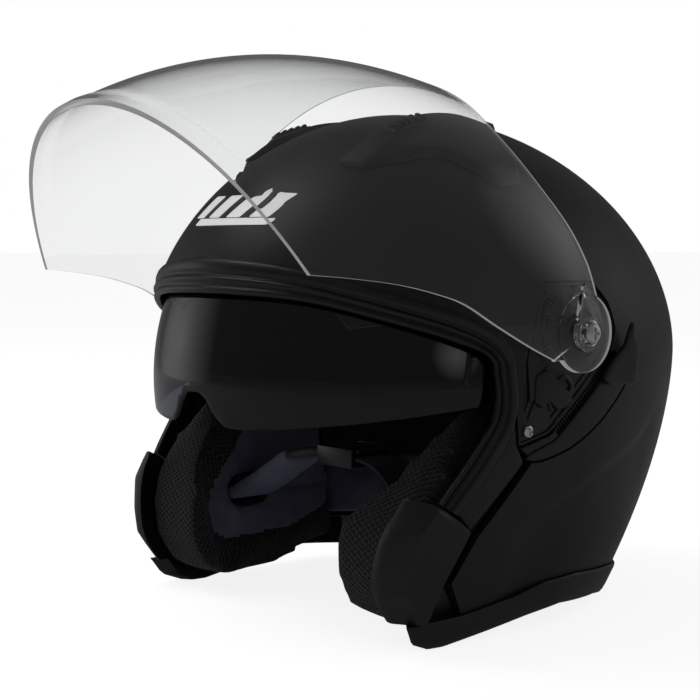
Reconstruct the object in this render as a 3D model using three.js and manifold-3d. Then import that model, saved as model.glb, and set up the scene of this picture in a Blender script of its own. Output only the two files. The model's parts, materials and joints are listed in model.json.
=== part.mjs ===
// Open face motorcycle helmet: moulded shell, foam liner, pads, neck trim, face gasket,
// raised clear visor on a ratchet hinge each side, drop-down sun visor worked by a side lever,
// sliding top vents and a chin strap with a ratchet buckle.
// Millimetres, +Z up, the face looks along -Y, +X is the wearer's left.
import * as THREE from 'three';
import { mergeVertices } from 'three/addons/utils/BufferGeometryUtils.js';
import Module from 'manifold-3d';

const wasm = await Module();
wasm.setup();

// ---------------------------------------------------------------- driving dimensions
const GAP = 0.3;                       // air left between touching pieces

// Outer skin of the shell: a superellipse in plan, another in elevation.
const SKIN = {
  centreY: -6.4, halfWidth: 124.6, front: 131.7, rear: 156.4,
  equator: 125.1, height: 118.5, planPower: 1.95, dropPower: 1.91,
  tuckSide: 0.23, tuckSidePower: 1.8, tuckRear: 0.327, tuckRearPower: 1.67, tuckFront: 0.1,
  square: 4, squarePower: 1.2,
};
const JAW = { reach: 21.5, start: 20, span: 72, most: 0.7 };
const SHELL_WALL = 3.5;                // shell thickness
const FOAM = { outer: -5.8, inner: -28 };      // growth of the two faces of the foam liner
const CROWN = { outer: -28.5, inner: -36 };    // comfort lining inside the foam
const CHEEK = { outer: -9, inner: -37, innerX: 54 };   // cheek pads
const POCKET = { floor: -3.2, back: -5.4 };    // side recess that takes the visor hinge
const COLUMNS = 32;                    // facets round the skin
const FLOOR = -6;                      // the skin is generated down to here, then trimmed
const BORE = 4.2;                      // radius of the visor's hole for its hinge screw

// Clear visor: radius from its hinge axis against the angle above straight ahead.
const HINGE = { y: -9, z: 138.5 };
const VISOR = {
  halfWidth: 127, power: 2.05, wall: 2.2, a: 49.5, b: -187.3, c: 289.9,
  lowAngle: 0.1, highAngle: 1.6, earRadius: 18, earInner: 124.8,
};

// Sun visor: a lens turned about its own axis, just inside the shell.
const SUN = {
  y: -14, z: 113, radius: 120, halfWidth: 115.6, power: 1.95, wall: 2,
  bottom: -7.8, top: 37, notchHalf: 24, edgeX: 100, armX: 107.5,
};

const STRAP = {
  width: 24, wall: 1.8, y: -58, apex: 76,
  slit: [[-60, 38], [-32, 38], [-32, 58], [-60, 58]],
};

// ---------------------------------------------------------------- finishes
const finish = (color, roughness, metalness = 0, opacity = 1) => new THREE.MeshStandardMaterial({
  color, roughness, metalness, opacity, transparent: opacity < 1,
});
const FINISH = {
  shell: finish(0x2b2a29, 0.55), trim: finish(0x1e2024, 0.5), rubber: finish(0x17181a, 0.45),
  foam: finish(0x1a1a1c, 0.95), knit: finish(0x141416, 0.95), lining: finish(0x1b1e2b, 0.95),
  clear: finish(0xe8eaec, 0.05, 0, 0.3), smoke: finish(0x0d1017, 0.08),
  plate: finish(0x111214, 0.4), steel: finish(0xb9bbbd, 0.25, 0.9),
  webbing: finish(0x26282c, 0.9), mark: finish(0xf2f2f2, 0.5),
};

// ---------------------------------------------------------------- solids
const helmet = new THREE.Group();

function solidOf(geometry) {
  const bare = geometry.clone();
  for (const name of Object.keys(bare.attributes)) if (name !== 'position') bare.deleteAttribute(name);
  const merged = mergeVertices(bare, 1e-4);
  return new wasm.Manifold(new wasm.Mesh({
    numProp: 3,
    vertProperties: new Float32Array(merged.attributes.position.array),
    triVerts: new Uint32Array(merged.index.array),
  }));
}

function geometryOf(solid) {
  const mesh = solid.getMesh();
  const geometry = new THREE.BufferGeometry();
  geometry.setAttribute('position', new THREE.BufferAttribute(mesh.vertProperties, 3));
  geometry.setIndex(new THREE.BufferAttribute(mesh.triVerts, 1));
  geometry.computeVertexNormals();
  return geometry;
}

function place(name, solid, material) {
  const mesh = new THREE.Mesh(geometryOf(solid), material);
  mesh.name = name;
  helmet.add(mesh);
  return mesh;
}

const joined = (solids) => solids.reduce((sum, next) => sum.add(next));
const cutBy = (solid, cutters) => cutters.reduce((rest, next) => rest.subtract(next), solid);

// A closed solid through a stack of rings, each a list of points in the same order.
function ringSolid(rings, start, end) {
  const count = rings[0].length;
  const points = [start, ...rings.flat(), end];
  const faces = [];
  const at = (ring, column) => 1 + ring * count + (column % count);
  for (let column = 0; column < count; column += 1) {
    faces.push(0, at(0, column + 1), at(0, column));
    for (let ring = 0; ring + 1 < rings.length; ring += 1) {
      const [a, b] = [at(ring, column), at(ring, column + 1)];
      const [c, d] = [at(ring + 1, column + 1), at(ring + 1, column)];
      faces.push(a, b, c, a, c, d);
    }
    faces.push(at(rings.length - 1, column), at(rings.length - 1, column + 1), points.length - 1);
  }
  const geometry = new THREE.BufferGeometry().setFromPoints(points);
  geometry.setIndex(faces);
  return solidOf(geometry);
}

// The point of the skin in the plan direction `turn` (0 is straight ahead) at height z.
function skinPoint(turn, z, grow) {
  const [x, y] = [Math.sin(turn), -Math.cos(turn)];
  const rise = Math.max(0, (z - SKIN.equator) / (SKIN.height + grow));
  const drop = Math.max(0, (SKIN.equator - z) / SKIN.equator);
  const scale = (1 - Math.min(1, rise) ** SKIN.dropPower) ** (1 / SKIN.dropPower);
  const width = SKIN.halfWidth * (1 - SKIN.tuckSide * drop ** SKIN.tuckSidePower) + grow;
  const ahead = SKIN.front * (1 - SKIN.tuckFront * drop ** 2);
  const behind = SKIN.rear * (1 - SKIN.tuckRear * drop ** SKIN.tuckRearPower);
  const length = (y < 0 ? ahead : behind) + grow;
  const power = SKIN.planPower + (y < 0 ? SKIN.square * drop ** SKIN.squarePower : 0);
  const reach = (Math.abs(x / width) ** power + Math.abs(y / length) ** power) ** (-1 / power);
  return new THREE.Vector3(x * reach * scale, SKIN.centreY + y * reach * scale, z);
}

const domeCache = new Map();
function dome(grow, floor = FLOOR) {
  const key = `${grow} ${floor}`;
  if (domeCache.has(key)) return domeCache.get(key);
  const heights = [];
  const lowSteps = 5;
  const highSteps = 7;
  for (let i = 0; i <= lowSteps; i += 1) heights.push(floor + (SKIN.equator - floor) * (i / lowSteps));
  for (let i = 1; i < highSteps; i += 1) {
    heights.push(SKIN.equator + (SKIN.height + grow) * Math.sin((i / highSteps) * Math.PI / 2));
  }
  const rings = heights.map((z) => Array.from({ length: COLUMNS },
    (_, column) => skinPoint((column / COLUMNS) * 2 * Math.PI, z, grow)));
  const bottom = new THREE.Vector3(0, SKIN.centreY, floor);
  const top = new THREE.Vector3(0, SKIN.centreY, SKIN.equator + SKIN.height + grow);
  const solid = ringSolid(rings, bottom, top);
  domeCache.set(key, solid);
  return solid;
}

const layer = (outer, inner) => dome(outer).subtract(dome(inner, FLOOR - 4));

// Extrudes an outline. Side outlines are [y, z] pairs run along X, plan ones [x, y] run up Z.
function extruded(points, from, to, axes) {
  const shape = new THREE.Shape(points.map(([u, v]) => new THREE.Vector2(u, v)));
  const geometry = new THREE.ExtrudeGeometry(shape, { depth: to - from, bevelEnabled: false });
  geometry.translate(0, 0, from);
  geometry.applyMatrix4(axes);
  return solidOf(geometry);
}
const SIDE_AXES = new THREE.Matrix4().makeBasis(
  new THREE.Vector3(0, 1, 0), new THREE.Vector3(0, 0, 1), new THREE.Vector3(1, 0, 0));
const FRONT_AXES = new THREE.Matrix4().makeBasis(
  new THREE.Vector3(1, 0, 0), new THREE.Vector3(0, 0, 1), new THREE.Vector3(0, -1, 0));
const PLAN_AXES = new THREE.Matrix4();
const sidePrism = (points, from = -170, to = 170) => extruded(points, from, to, SIDE_AXES);
const planPrism = (points, from = 150, to = 280) => extruded(points, from, to, PLAN_AXES);
const halfPrism = (points, side) => (side > 0 ? sidePrism(points, 20, 170) : sidePrism(points, -170, -20));
const flipped = (points, side) => points.map(([x, y]) => [side * x, y]);

// Smooths a short list of points into a curve of `count` points.
function smooth(points, count = 24) {
  const curve = new THREE.SplineCurve(points.map(([u, v]) => new THREE.Vector2(u, v)));
  return curve.getPoints(count).map((point) => [point.x, point.y]);
}

// A round pin or screw along X, its profile a list of [radius, distance outward] pairs.
function turnedAlongX(profile, centre, side, segments = 20) {
  const geometry = new THREE.LatheGeometry(
    profile.map(([radius, along]) => new THREE.Vector2(radius, along)), segments);
  geometry.rotateZ(-side * Math.PI / 2);
  geometry.translate(centre[0], centre[1], centre[2]);
  return solidOf(geometry);
}

// ---------------------------------------------------------------- side view outlines [y, z]
// The jaw reaches forward of the plain outlines, the more so the lower and the further ahead it is.
const reached = (points) => points.map(([y, z]) => [
  y - JAW.reach * Math.sqrt(Math.max(0, (SKIN.equator - z) / SKIN.equator))
    * Math.min(JAW.most, Math.max(0, (-y - JAW.start) / JAW.span)), z]);
const gasketOuter = reached(smooth([[-126, 172], [-117.5, 168.6], [-94, 158], [-63.5, 146],
  [-50, 136.5], [-44.5, 122], [-44, 104], [-50, 88], [-66, 62]]));
const gasketInner = reached(smooth([[-135, 157.5], [-117, 154], [-96, 146], [-70, 136],
  [-56, 128.5], [-52, 116], [-53, 103], [-58, 93], [-73, 67]]));
const slotRear = reached([[-33, 82], [-54, 50], [-61, 30], [-52, 14]]);
const slotFront = reached([[-37.5, 82], [-58.5, 53.5], [-65.5, 32], [-69, 13.6]]);
const gasketFoot = 104;                // the gasket leaves the shell below this height
const trimTop = reached([[-52, 14], [-29, 18], [-11, 23], [10, 24], [47, 21], [80, 16], [120, 14]]);
const trimBottom = reached([[120, 0], [76, 0], [39, 7.5], [4, 9.7], [-18, 7], [-36, 3.5], [-56, 0],
  [-63, 0]]);
const jawFront = reached(smooth([[-83, 70], [-90, 56], [-92, 44], [-91.5, 33], [-88, 24],
  [-80, 13.6]], 10));
const platePocket = reached([[-41, 89], [-25, 94], [-10, 108], [12, 128], [17, 140], [14, 152],
  [5, 161], [-27, 161], [-34, 148], [-40, 128], [-40, 106]]);
const leaf = reached([[-37, 83], ...smooth([[-30, 82], [-12, 86.5], [8, 98], [25, 113]], 6),
  [27, 131], [21.5, 130.6], [-22, 90.7], [-35.5, 85.5]]);

const shifted = (points, dy, dz) => points.map(([y, z]) => [y + dy, z + dz]);
// The prism of an outline with `margin` more room all round it.
const roomy = (points, side, margin) => joined([[1, 1], [1, -1], [-1, 1], [-1, -1]]
  .map(([dy, dz]) => halfPrism(shifted(points, dy * margin, dz * margin), side)));

// ---------------------------------------------------------------- shell, foam and linings
const FAR = 260;
const belowTrim = [...shifted(trimTop, 0, GAP), [200, 14], [200, -30]];
const portOutline = [[-FAR, 176], ...gasketOuter.filter(([, z]) => z > gasketFoot),
  ...reached([[-41.3, 90]]), ...shifted(slotRear, 0, GAP), ...belowTrim, [-FAR, -30]];
const port = sidePrism(portOutline);
const recess = (outline, side) => roomy(outline, side, 0.5).intersect(layer(6, POCKET.floor));
const backing = (outline, side) => roomy(outline, side, 3).intersect(layer(-1, POCKET.back));
// The narrow gap that the lever's stem runs in, between hinge plate and side cover.
const leverSlot = reached([[-23, 95.5], [14, 129.5], [19, 126.5], [-18, 92]]);

function buildShell() {
  let shell = layer(0, -SHELL_WALL);
  for (const side of [1, -1]) {
    const outlines = [platePocket, leaf, leverSlot];
    shell = joined([shell, ...outlines.map((outline) => backing(outline, side))]);
    shell = cutBy(shell, outlines.map((outline) => recess(outline, side)));
  }
  place('outer_shell', cutBy(shell, [port]), FINISH.shell);
}

// Space swept by the sun visor and its arms as it swings up between shell and foam.
function sunSweep() {
  const inside = SUN.radius - SUN.wall - 2.5;
  const outside = SUN.radius + 6;
  const wedge = sidePrism([[SUN.y + 8, SUN.z - 30], [SUN.y - FAR, SUN.z - 60], [SUN.y - FAR, SUN.z + FAR],
    [SUN.y + 30, SUN.z + FAR], [SUN.y + 8, SUN.z + 10]]);
  const band = lensSolid(outside, SUN.halfWidth + 4).subtract(lensSolid(inside, SUN.halfWidth - 4.5));
  const arms = [1, -1].map((side) => turnedAlongX([[0, -10], [66, -10], [66, 4], [0, 4]],
    [side * SUN.armX, SUN.y, SUN.z], side, 28));
  return joined([band.intersect(wedge), ...arms]);
}

// The barrel-shaped solid that the lens is cut from, turned about the sun visor's axis.
function lensSolid(radius, halfWidth) {
  const steps = 14;
  const profile = [];
  for (let i = 0; i <= steps; i += 1) {
    const turn = -Math.PI / 2 + (i / steps) * Math.PI;
    profile.push([radius * Math.cos(turn) ** (2 / SUN.power), halfWidth * Math.sin(turn)]);
  }
  profile[0][0] = 0;
  profile[steps][0] = 0;
  return turnedAlongX(profile, [0, SUN.y, SUN.z], 1, 48);
}

function buildLinings() {
  const foamPort = [[-FAR, 180], [-132, 178],
    ...shifted(gasketOuter, 2.5, 3).filter(([, z]) => z > 120 && z < 174), [-41, 116], [14.3, 116],
    [14.3, 60], [200, 60], [200, -30], [-FAR, -30]];
  const foam = cutBy(layer(FOAM.outer, FOAM.inner), [sidePrism(foamPort), sunSweep()]);
  const parts = foam.decompose().sort((one, two) => two.volume() - one.volume());
  place('eps_liner', parts[0], FINISH.foam);

  const crownPort = [[-FAR, 186], [-100, 186], [-60, 150], [-46, 118], [200, 118], [200, -30], [-FAR, -30]];
  place('crown_pad', cutBy(layer(CROWN.outer, CROWN.inner), [sidePrism(crownPort)]), FINISH.lining);

  const roll = [[14.5, 59.5], [14.5, 26], [47, 24], [80, 19], [130, 17], [130, 59.5]];
  const neckRoll = layer(-6, -27).intersect(sidePrism(roll));
  place('neck_roll', neckRoll, FINISH.lining);
}

const cheekOutline = reached([[-60, 90], [-68, 76], [-80, 62], [-85, 46], [-84, 32], [-74, 18],
  [-58, 10], [-30, 12], [10, 24], [13.8, 60], [13.8, 112], [-28, 112], [-46, 104]]);

function buildCheekPads() {
  for (const [word, side] of [['left', 1], ['right', -1]]) {
    const span = side > 0 ? [CHEEK.innerX, 170] : [-170, -CHEEK.innerX];
    const pad = layer(CHEEK.outer, CHEEK.inner).intersect(sidePrism(cheekOutline, ...span));
    const arms = turnedAlongX([[0, -9], [68, -9], [68, 12], [0, 12]],
      [side * SUN.armX, SUN.y, SUN.z], side, 28);
    const slit = halfPrism(STRAP.slit, side);
    place(`cheek_pad_${word}`, cutBy(pad, [arms, slit]), FINISH.knit);
  }
}

// ---------------------------------------------------------------- trims
function buildTrims() {
  const band = [...shifted(gasketOuter, -GAP, -GAP), ...reached([[-73.6, 66.5]]),
    ...gasketInner.toReversed()];
  place('face_gasket', layer(1.6, -3.5).intersect(sidePrism(band)), FINISH.rubber);

  const trim = [...reached([[-80, 13.3]]), ...slotFront.slice(3).map(([y]) => [y, 13.3]), ...trimTop,
    ...trimBottom, ...reached([[-72, 4]])];
  place('neck_trim', layer(2.2, -5.6).intersect(sidePrism(trim)), FINISH.trim);

  for (const [word, side] of [['left', 1], ['right', -1]]) {
    const outline = [...jawFront, ...slotFront.toReversed().slice(0, 3),
      ...reached([[-66.5, 61], [-74, 66.3]])];
    const raised = reached([[-77, 67], [-84, 55], [-85.5, 42], [-84, 29], [-74, 15], [-70.5, 15],
      [-67, 32], [-60, 53.5], [-67.5, 60.5], [-74.5, 65.3]]);
    const cover = joined([
      layer(1, -7).intersect(halfPrism(outline, side)),
      layer(4, -1).intersect(halfPrism(raised, side)),
    ]);
    place(`jaw_cover_${word}`, cover, FINISH.trim);

    const strip = [...shifted(gasketOuter, 0.5, 0).filter(([, z]) => z < gasketFoot && z > 62.5),
      ...reached([[-65, 62.3], [-57.7, 54.2], [-37.5, 82], [-41.9, 90]])];
    const channel = reached([[-42.5, 89], [-37.5, 82.5], [-34, 81], [-54.8, 50], [-61.8, 30],
      [-54, 15], [-67.8, 15], [-64.6, 32], [-57.4, 54], [-61, 61]]);
    place(`port_strip_${word}`, joined([
      layer(-0.4, -7).intersect(halfPrism(strip, side)),
      layer(-4.4, -7).intersect(halfPrism(channel, side)),
    ]), FINISH.plate);
  }
}

// ---------------------------------------------------------------- clear visor
const visorRadius = (angle) => {
  const held = Math.min(VISOR.highAngle, Math.max(VISOR.lowAngle, angle));
  return VISOR.a * held ** 2 + VISOR.b * held + VISOR.c;
};

// A closed blister round the hinge axis; `grow` moves its face out or in.
function visorBlister(grow) {
  const spokes = 40;
  const rows = 14;
  const ringAt = (row) => Array.from({ length: spokes }, (_, spoke) => {
    const angle = (spoke / spokes) * 2 * Math.PI;
    const above = angle > 1.25 * Math.PI ? angle - 2 * Math.PI : angle;
    const radius = visorRadius(above) + grow;
    const turn = -Math.PI / 2 + (row / rows) * Math.PI;
    const x = (VISOR.halfWidth + grow) * Math.sign(turn) * Math.abs(Math.sin(turn)) ** (2 / VISOR.power);
    const reach = radius * Math.cos(turn) ** (2 / VISOR.power);
    return new THREE.Vector3(x, HINGE.y - reach * Math.cos(above), HINGE.z + reach * Math.sin(above));
  }).reverse();
  const rings = Array.from({ length: rows - 1 }, (_, row) => ringAt(row + 1));
  const start = new THREE.Vector3(-(VISOR.halfWidth + grow), HINGE.y, HINGE.z);
  const end = new THREE.Vector3(VISOR.halfWidth + grow, HINGE.y, HINGE.z);
  return ringSolid(rings, start, end);
}

function visorOutline() {
  const lower = smooth([[-149.8, 165.6], [-133.6, 164.3], [-111, 161.4], [-92.3, 157.1], [-79, 152.6],
    [-62, 143], [-43, 133.4], [-27, 126.5]], 14);
  const ear = Array.from({ length: 9 }, (_, i) => {
    const turn = (-140 + i * 25) * Math.PI / 180;
    return [HINGE.y + VISOR.earRadius * Math.cos(turn), HINGE.z + VISOR.earRadius * Math.sin(turn)];
  });
  const upper = smooth([[-3, 168.4], [-7, 179.7], [-11.5, 189.5], [-19, 203], [-25, 218], [-28, 232],
    [-25, 246], [-21, 262], [-20, 275]], 10);
  const chin = [[-200, 275], [-204, 264], [-190.8, 239.6], [-170.5, 203]];
  return [...lower, ...ear, ...upper, ...chin];
}

function buildVisor() {
  const wall = visorBlister(0).subtract(visorBlister(-VISOR.wall));
  const ears = [1, -1].map((side) => turnedAlongX(
    [[0, 0], [VISOR.earRadius, 0], [VISOR.earRadius, VISOR.wall], [0, VISOR.wall]],
    [side * VISOR.earInner, HINGE.y, HINGE.z], side, 28));
  const holes = [1, -1].map((side) => turnedAlongX([[0, -4], [BORE, -4], [BORE, 8], [0, 8]],
    [side * VISOR.earInner, HINGE.y, HINGE.z], side, 16));
  const body = joined([wall.intersect(sidePrism(visorOutline())), ...ears]);
  place('visor', cutBy(body, holes), FINISH.clear);
  for (const [word, side] of [['left', 1], ['right', -1]]) {
    const face = VISOR.earInner + VISOR.wall + GAP;
    const tip = [-2.5, 20];
    const base = Array.from({ length: 14 }, (_, i) => {
      const turn = (-200 + i * 16.4) * Math.PI / 180;
      return [HINGE.y + 8.5 * Math.cos(turn), HINGE.z + 8.5 * Math.sin(turn)];
    });
    const point = [[2.6, 0], [0, 2.6], [-2.6, 0]]
      .map(([dy, dz]) => [HINGE.y + tip[0] + dy, HINGE.z + tip[1] + dz]);
    const drop = [...base, ...point];
    const solid = side > 0 ? sidePrism(drop, face, face + 2.4) : sidePrism(drop, -face - 2.4, -face);
    const bore = turnedAlongX([[0, -4], [BORE, -4], [BORE, 8], [0, 8]],
      [side * face, HINGE.y, HINGE.z], side, 16);
    place(`visor_cap_${word}`, solid.subtract(bore), FINISH.clear);
  }
}

// ---------------------------------------------------------------- visor hinge mechanism
const RELEASE_TRAVEL = 2.5;
const leverOutline = reached([[-34, 120], [-28, 123], [-20, 115], [-15, 112], [-13, 109],
  [-17, 105.5], [-22.5, 104.5], [-26.5, 109], [-30, 105.5], [-34.5, 109], [-34, 115]]);
function buildHinges() {
  for (const [word, side] of [['left', 1], ['right', -1]]) {
    const plate = layer(-1.4, POCKET.floor + GAP).intersect(halfPrism(platePocket, side));
    const teeth = Array.from({ length: 8 }, (_, i) => {
      const turn = (138 + i * 9) * Math.PI / 180;
      const [y, z] = [HINGE.y + 21 * Math.cos(turn), HINGE.z + 21 * Math.sin(turn)];
      return turnedAlongX([[0, -6], [1.1, -6], [1.1, 0], [0, 0]],
        [side * (VISOR.earInner - 1.2), y, z], side, 8);
    });
    const dish = layer(0, -1.5).intersect(turnedAlongX([[0, 0], [9, 0], [9, 30], [0, 30]],
      [side * 105, HINGE.y, HINGE.z], side, 24));
    const bore = turnedAlongX([[0, -40], [3.4, -40], [3.4, 40], [0, 40]],
      [side * 120, HINGE.y, HINGE.z], side, 16);
    const well = turnedAlongX([[0, -6], [3.6, -6], [3.6, 40], [0, 40]], [side * 120.1, -39.45, 96], side, 16);
    const leverBay = joined([0, RELEASE_TRAVEL]
      .map((rise) => roomy(shifted(leverOutline, 0, rise), side, 0.5)))
      .intersect(layer(4, -2.4));
    const solid = cutBy(joined([plate, ...teeth.map((tooth) => tooth.intersect(layer(-0.3, -3))), dish]),
      [bore, well, leverBay]);
    const parts = solid.decompose().sort((one, two) => two.volume() - one.volume());
    place(`hinge_plate_${word}`, parts[0], FINISH.plate);

    const screw = turnedAlongX([[0, -3], [3, -3], [3, 5.6], [4.6, 5.6], [4.2, 7.4], [0, 7.8]],
      [side * VISOR.earInner, HINGE.y, HINGE.z], side);
    const slots = [0, 1].map((turn) => new THREE.BoxGeometry(1.6, turn ? 5.6 : 1.1, turn ? 1.1 : 5.6)
      .translate(side * (VISOR.earInner + 8), HINGE.y, HINGE.z)).map(solidOf);
    place(`pivot_screw_${word}`, cutBy(screw, slots), FINISH.steel);

    const low = turnedAlongX([[0, -0.6], [2.9, -0.6], [2.9, 1.9], [2, 2.6], [0, 2.6]],
      [side * 119.7, -39.45, 96], side, 16);
    place(`plate_screw_${word}`, low, FINISH.steel);

    const lever = layer(-0.2, -2.1).intersect(halfPrism(leverOutline, side));
    place(`release_lever_${word}`, lever, FINISH.plate);
    place(`side_cover_${word}`, layer(0, POCKET.floor + GAP).intersect(halfPrism(leaf, side)), FINISH.shell);
  }
}

// ---------------------------------------------------------------- sun visor
function buildSunVisor() {
  const wall = lensSolid(SUN.radius, SUN.halfWidth)
    .subtract(lensSolid(SUN.radius - SUN.wall, SUN.halfWidth - SUN.wall));
  const ray = (degrees, reach) => [SUN.y - reach * Math.cos(degrees * Math.PI / 180),
    SUN.z + reach * Math.sin(degrees * Math.PI / 180)];
  const window = sidePrism([ray(SUN.bottom, 36), ray(SUN.bottom, 160), ray(12, 170), ray(SUN.top, 160),
    ray(SUN.top, 44), ray(14, 34)], -SUN.edgeX - 8, SUN.edgeX + 8);
  const nose = extruded([[-SUN.notchHalf - 3, 60], [SUN.notchHalf + 3, 60],
    ...smooth([[SUN.notchHalf, SUN.z - 18], [14, SUN.z - 12], [7, SUN.z - 4], [0, SUN.z - 2.5],
      [-7, SUN.z - 4], [-14, SUN.z - 12], [-SUN.notchHalf, SUN.z - 18]], 12)], 60, 170, FRONT_AXES);
  const arms = [1, -1].map((side) => {
    const outline = [ray(100, 6), ray(150, 6), ray(-120, 6), ray(-60, 6), ray(4, 52), ray(24, 54)];
    const [low, high] = side > 0 ? [SUN.armX - 5, SUN.armX - 2] : [-SUN.armX + 2, -SUN.armX + 5];
    const bore = turnedAlongX([[0, -12], [2.6, -12], [2.6, 8], [0, 8]],
      [side * SUN.armX, SUN.y, SUN.z], side, 16);
    return sidePrism(outline, low, high).subtract(bore);
  });
  const lens = wall.intersect(window).subtract(nose);
  place('sun_visor', joined([lens, ...arms]), FINISH.smoke);
  for (const [word, side] of [['left', 1], ['right', -1]]) {
    const pin = turnedAlongX([[0, -8], [4.4, -8], [4.4, -5.6], [2.2, -5.6], [2.2, -1.6], [6, -1.6],
      [6, 1], [3.6, 1], [3.6, 9.2], [0, 9.2]], [side * SUN.armX, SUN.y, SUN.z], side, 16);
    place(`sun_visor_pin_${word}`, pin, FINISH.steel);
  }
  const foot = [[4, 117.5], [8, 114], [26, 114], [28.5, 128], [24, 143], [18, 131], [12, 126.5]];
  const ridge = [[19, 116], [23, 116], [26, 130], [24, 141], [21, 130]];
  const stem = [[5.2, 120], [11.2, 125.5], [13, 123.6], [7, 118]];
  place('sun_visor_lever', joined([sidePrism(foot, 125.1, 127.3), sidePrism(ridge, 127, 129.6),
    sidePrism(stem, 121.9, 126)]), FINISH.plate);
}

// ---------------------------------------------------------------- vents and mark
function buildVents() {
  const plan = [[37, -80], [52, -74], [60, -58], [66, -42], [89, -27], [89, -13], [76, -3], [56, 4],
    [40, 21], [35, 4], [37, -40]];
  const scoop = [[64, -36], [84, -25], [84, -16], [72, -8], [54, -3], [52, -22]];
  const track = [[40.5, -57], [50, -57], [49, -14], [39.5, -14]];
  for (const [word, side] of [['left', 1], ['right', -1]]) {
    const order = (points) => (side > 0 ? flipped(points, side) : flipped(points, side).toReversed());
    const body = layer(5, GAP).intersect(planPrism(order(plan)));
    const cuts = [[scoop, 1.6], [track, 1.2]]
      .map(([outline, floor]) => layer(8, floor).intersect(planPrism(order(outline))));
    place(`top_vent_${word}`, cutBy(body, cuts), FINISH.trim);
    const slide = [[41.3, -54], [49, -54], [48.4, -31], [40.6, -31]];
    const ribs = Array.from({ length: 4 }, (_, i) => [[41.3, -51 + i * 5.4], [48.6, -51 + i * 5.4],
      [48.6, -48.6 + i * 5.4], [41.3, -48.6 + i * 5.4]]);
    const slider = joined([layer(6, 3.2).intersect(planPrism(order(slide))),
      ...ribs.map((rib) => layer(7.6, 4).intersect(planPrism(order(rib))))]);
    place(`vent_slider_${word}`, slider, FINISH.trim);
  }
  const exhaust = [[-34, 96], [34, 96], [27, 128], [-27, 128]];
  const grille = Array.from({ length: 3 }, (_, i) => [[-22, 103 + i * 8], [22, 103 + i * 8],
    [20, 106.5 + i * 8], [-20, 106.5 + i * 8]]);
  place('rear_vent', cutBy(layer(4, GAP).intersect(planPrism(exhaust, 140)),
    grille.map((slot) => layer(8, 2).intersect(planPrism(slot, 140)))), FINISH.trim);
  const bars = [-24, -8, 8, 24].map((x) => [[x - 9, 190], [x + 1, 190], [x + 9, 201], [x - 1, 201]]);
  const ink = layer(0.75, GAP);
  const marks = bars.map((bar) => extruded(bar, 60, 200, FRONT_AXES));
  const spine = extruded([[-28, 187], [28, 187], [30, 190.2], [-26, 190.2]], 60, 200, FRONT_AXES);
  place('forehead_mark', ink.intersect(joined([...marks, spine])), FINISH.mark);
}

// ---------------------------------------------------------------- chin strap
function buildStrap() {
  // The buckled strap is folded up inside the opening as one arch seen from the front, [x, z].
  const ribbon = (points, wall) => {
    const up = points.map(([x, z], i) => {
      const [before, after] = [points[Math.max(0, i - 1)], points[Math.min(points.length - 1, i + 1)]];
      const [dx, dz] = [after[0] - before[0], after[1] - before[1]];
      const reach = Math.hypot(dx, dz);
      return [x - dz / reach * wall, z + dx / reach * wall];
    });
    return [...points, ...up.toReversed()];
  };
  const strap = (points, count) => extruded(ribbon(smooth(points, count), STRAP.wall),
    -STRAP.y - STRAP.width, -STRAP.y, FRONT_AXES);
  const apex = STRAP.apex;
  place('chin_strap_right', strap([[-88, 45], [-76, 46], [-62, 52], [-44, 62], [-22, 73], [-1.5, apex]], 16),
    FINISH.webbing);
  place('chin_strap_left', strap([[25.5, apex - 1.5], [40, 71], [56, 58], [66, 50], [76, 46], [88, 45]], 14),
    FINISH.webbing);

  const base = apex - 2.2;
  const box = (x0, x1, y0, y1, z0, z1) => solidOf(new THREE.BoxGeometry(x1 - x0, y1 - y0, z1 - z0)
    .translate((x0 + x1) / 2, (y0 + y1) / 2, (z0 + z1) / 2));
  for (const [word, side] of [['left', 1], ['right', -1]]) {
    const [near, far] = side > 0 ? [88.4, 90.4] : [-90.4, -88.4];
    const rivet = turnedAlongX([[0, 0], [3.4, 0], [3.4, 16.8], [0, 16.8]],
      [side * 90, STRAP.y + STRAP.width / 2, 48], side, 12);
    place(`strap_anchor_${word}`, box(near, far, STRAP.y + 1, STRAP.y + STRAP.width - 1, 41, 55).add(rivet),
      FINISH.steel);
  }
  const [front, back] = [STRAP.y - 2, STRAP.y + STRAP.width + 2];
  const body = joined([
    box(-1, 25, front, back, base - 3, base - 1), box(-1, 25, front, front + 2, base - 3, base + 6.5),
    box(-1, 25, back - 2, back, base - 3, base + 6.5),
  ]);
  place('buckle_body', body, FINISH.steel);
  place('buckle_tongue', joined([
    box(2, 24, front + 2.6, back - 2.6, base - 0.6, base + 1.1),
    ...Array.from({ length: 6 }, (_, i) => 4 + i * 3)
      .map((x) => box(x, x + 1.2, front + 3, back - 3, base + 1, base + 1.9)),
  ]), FINISH.rubber);
  place('buckle_lever', joined([
    box(3, 27, front + 2.6, back - 2.6, base + 4.2, base + 6.2),
    box(3, 5, front + 2.6, back - 2.6, base + 2.4, base + 4.4),
  ]), FINISH.steel);
}

buildShell();
buildLinings();
buildCheekPads();
buildTrims();
buildVisor();
buildHinges();
buildSunVisor();
buildVents();
buildStrap();

// The origin is the middle of the footprint at the lowest point.
const box = new THREE.Box3().setFromObject(helmet);
helmet.position.set(0, -(box.min.y + box.max.y) / 2, -box.min.z);

export default helmet;
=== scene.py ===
"""Open face motorcycle helmet: shell, edgings, visors, hinges, vents, linings and chin strap.

Shapes are worked out in millimetres in the shell's own frame, +Z up, the face looking along -Y and
+X the wearer's left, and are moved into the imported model's frame when a mesh is made.
"""

import json
import logging
import math
from dataclasses import dataclass
from enum import Enum
from typing import Callable, Optional, Sequence

import bmesh
import bpy
import numpy as np
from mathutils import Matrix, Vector
from mathutils.geometry import delaunay_2d_cdt


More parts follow.
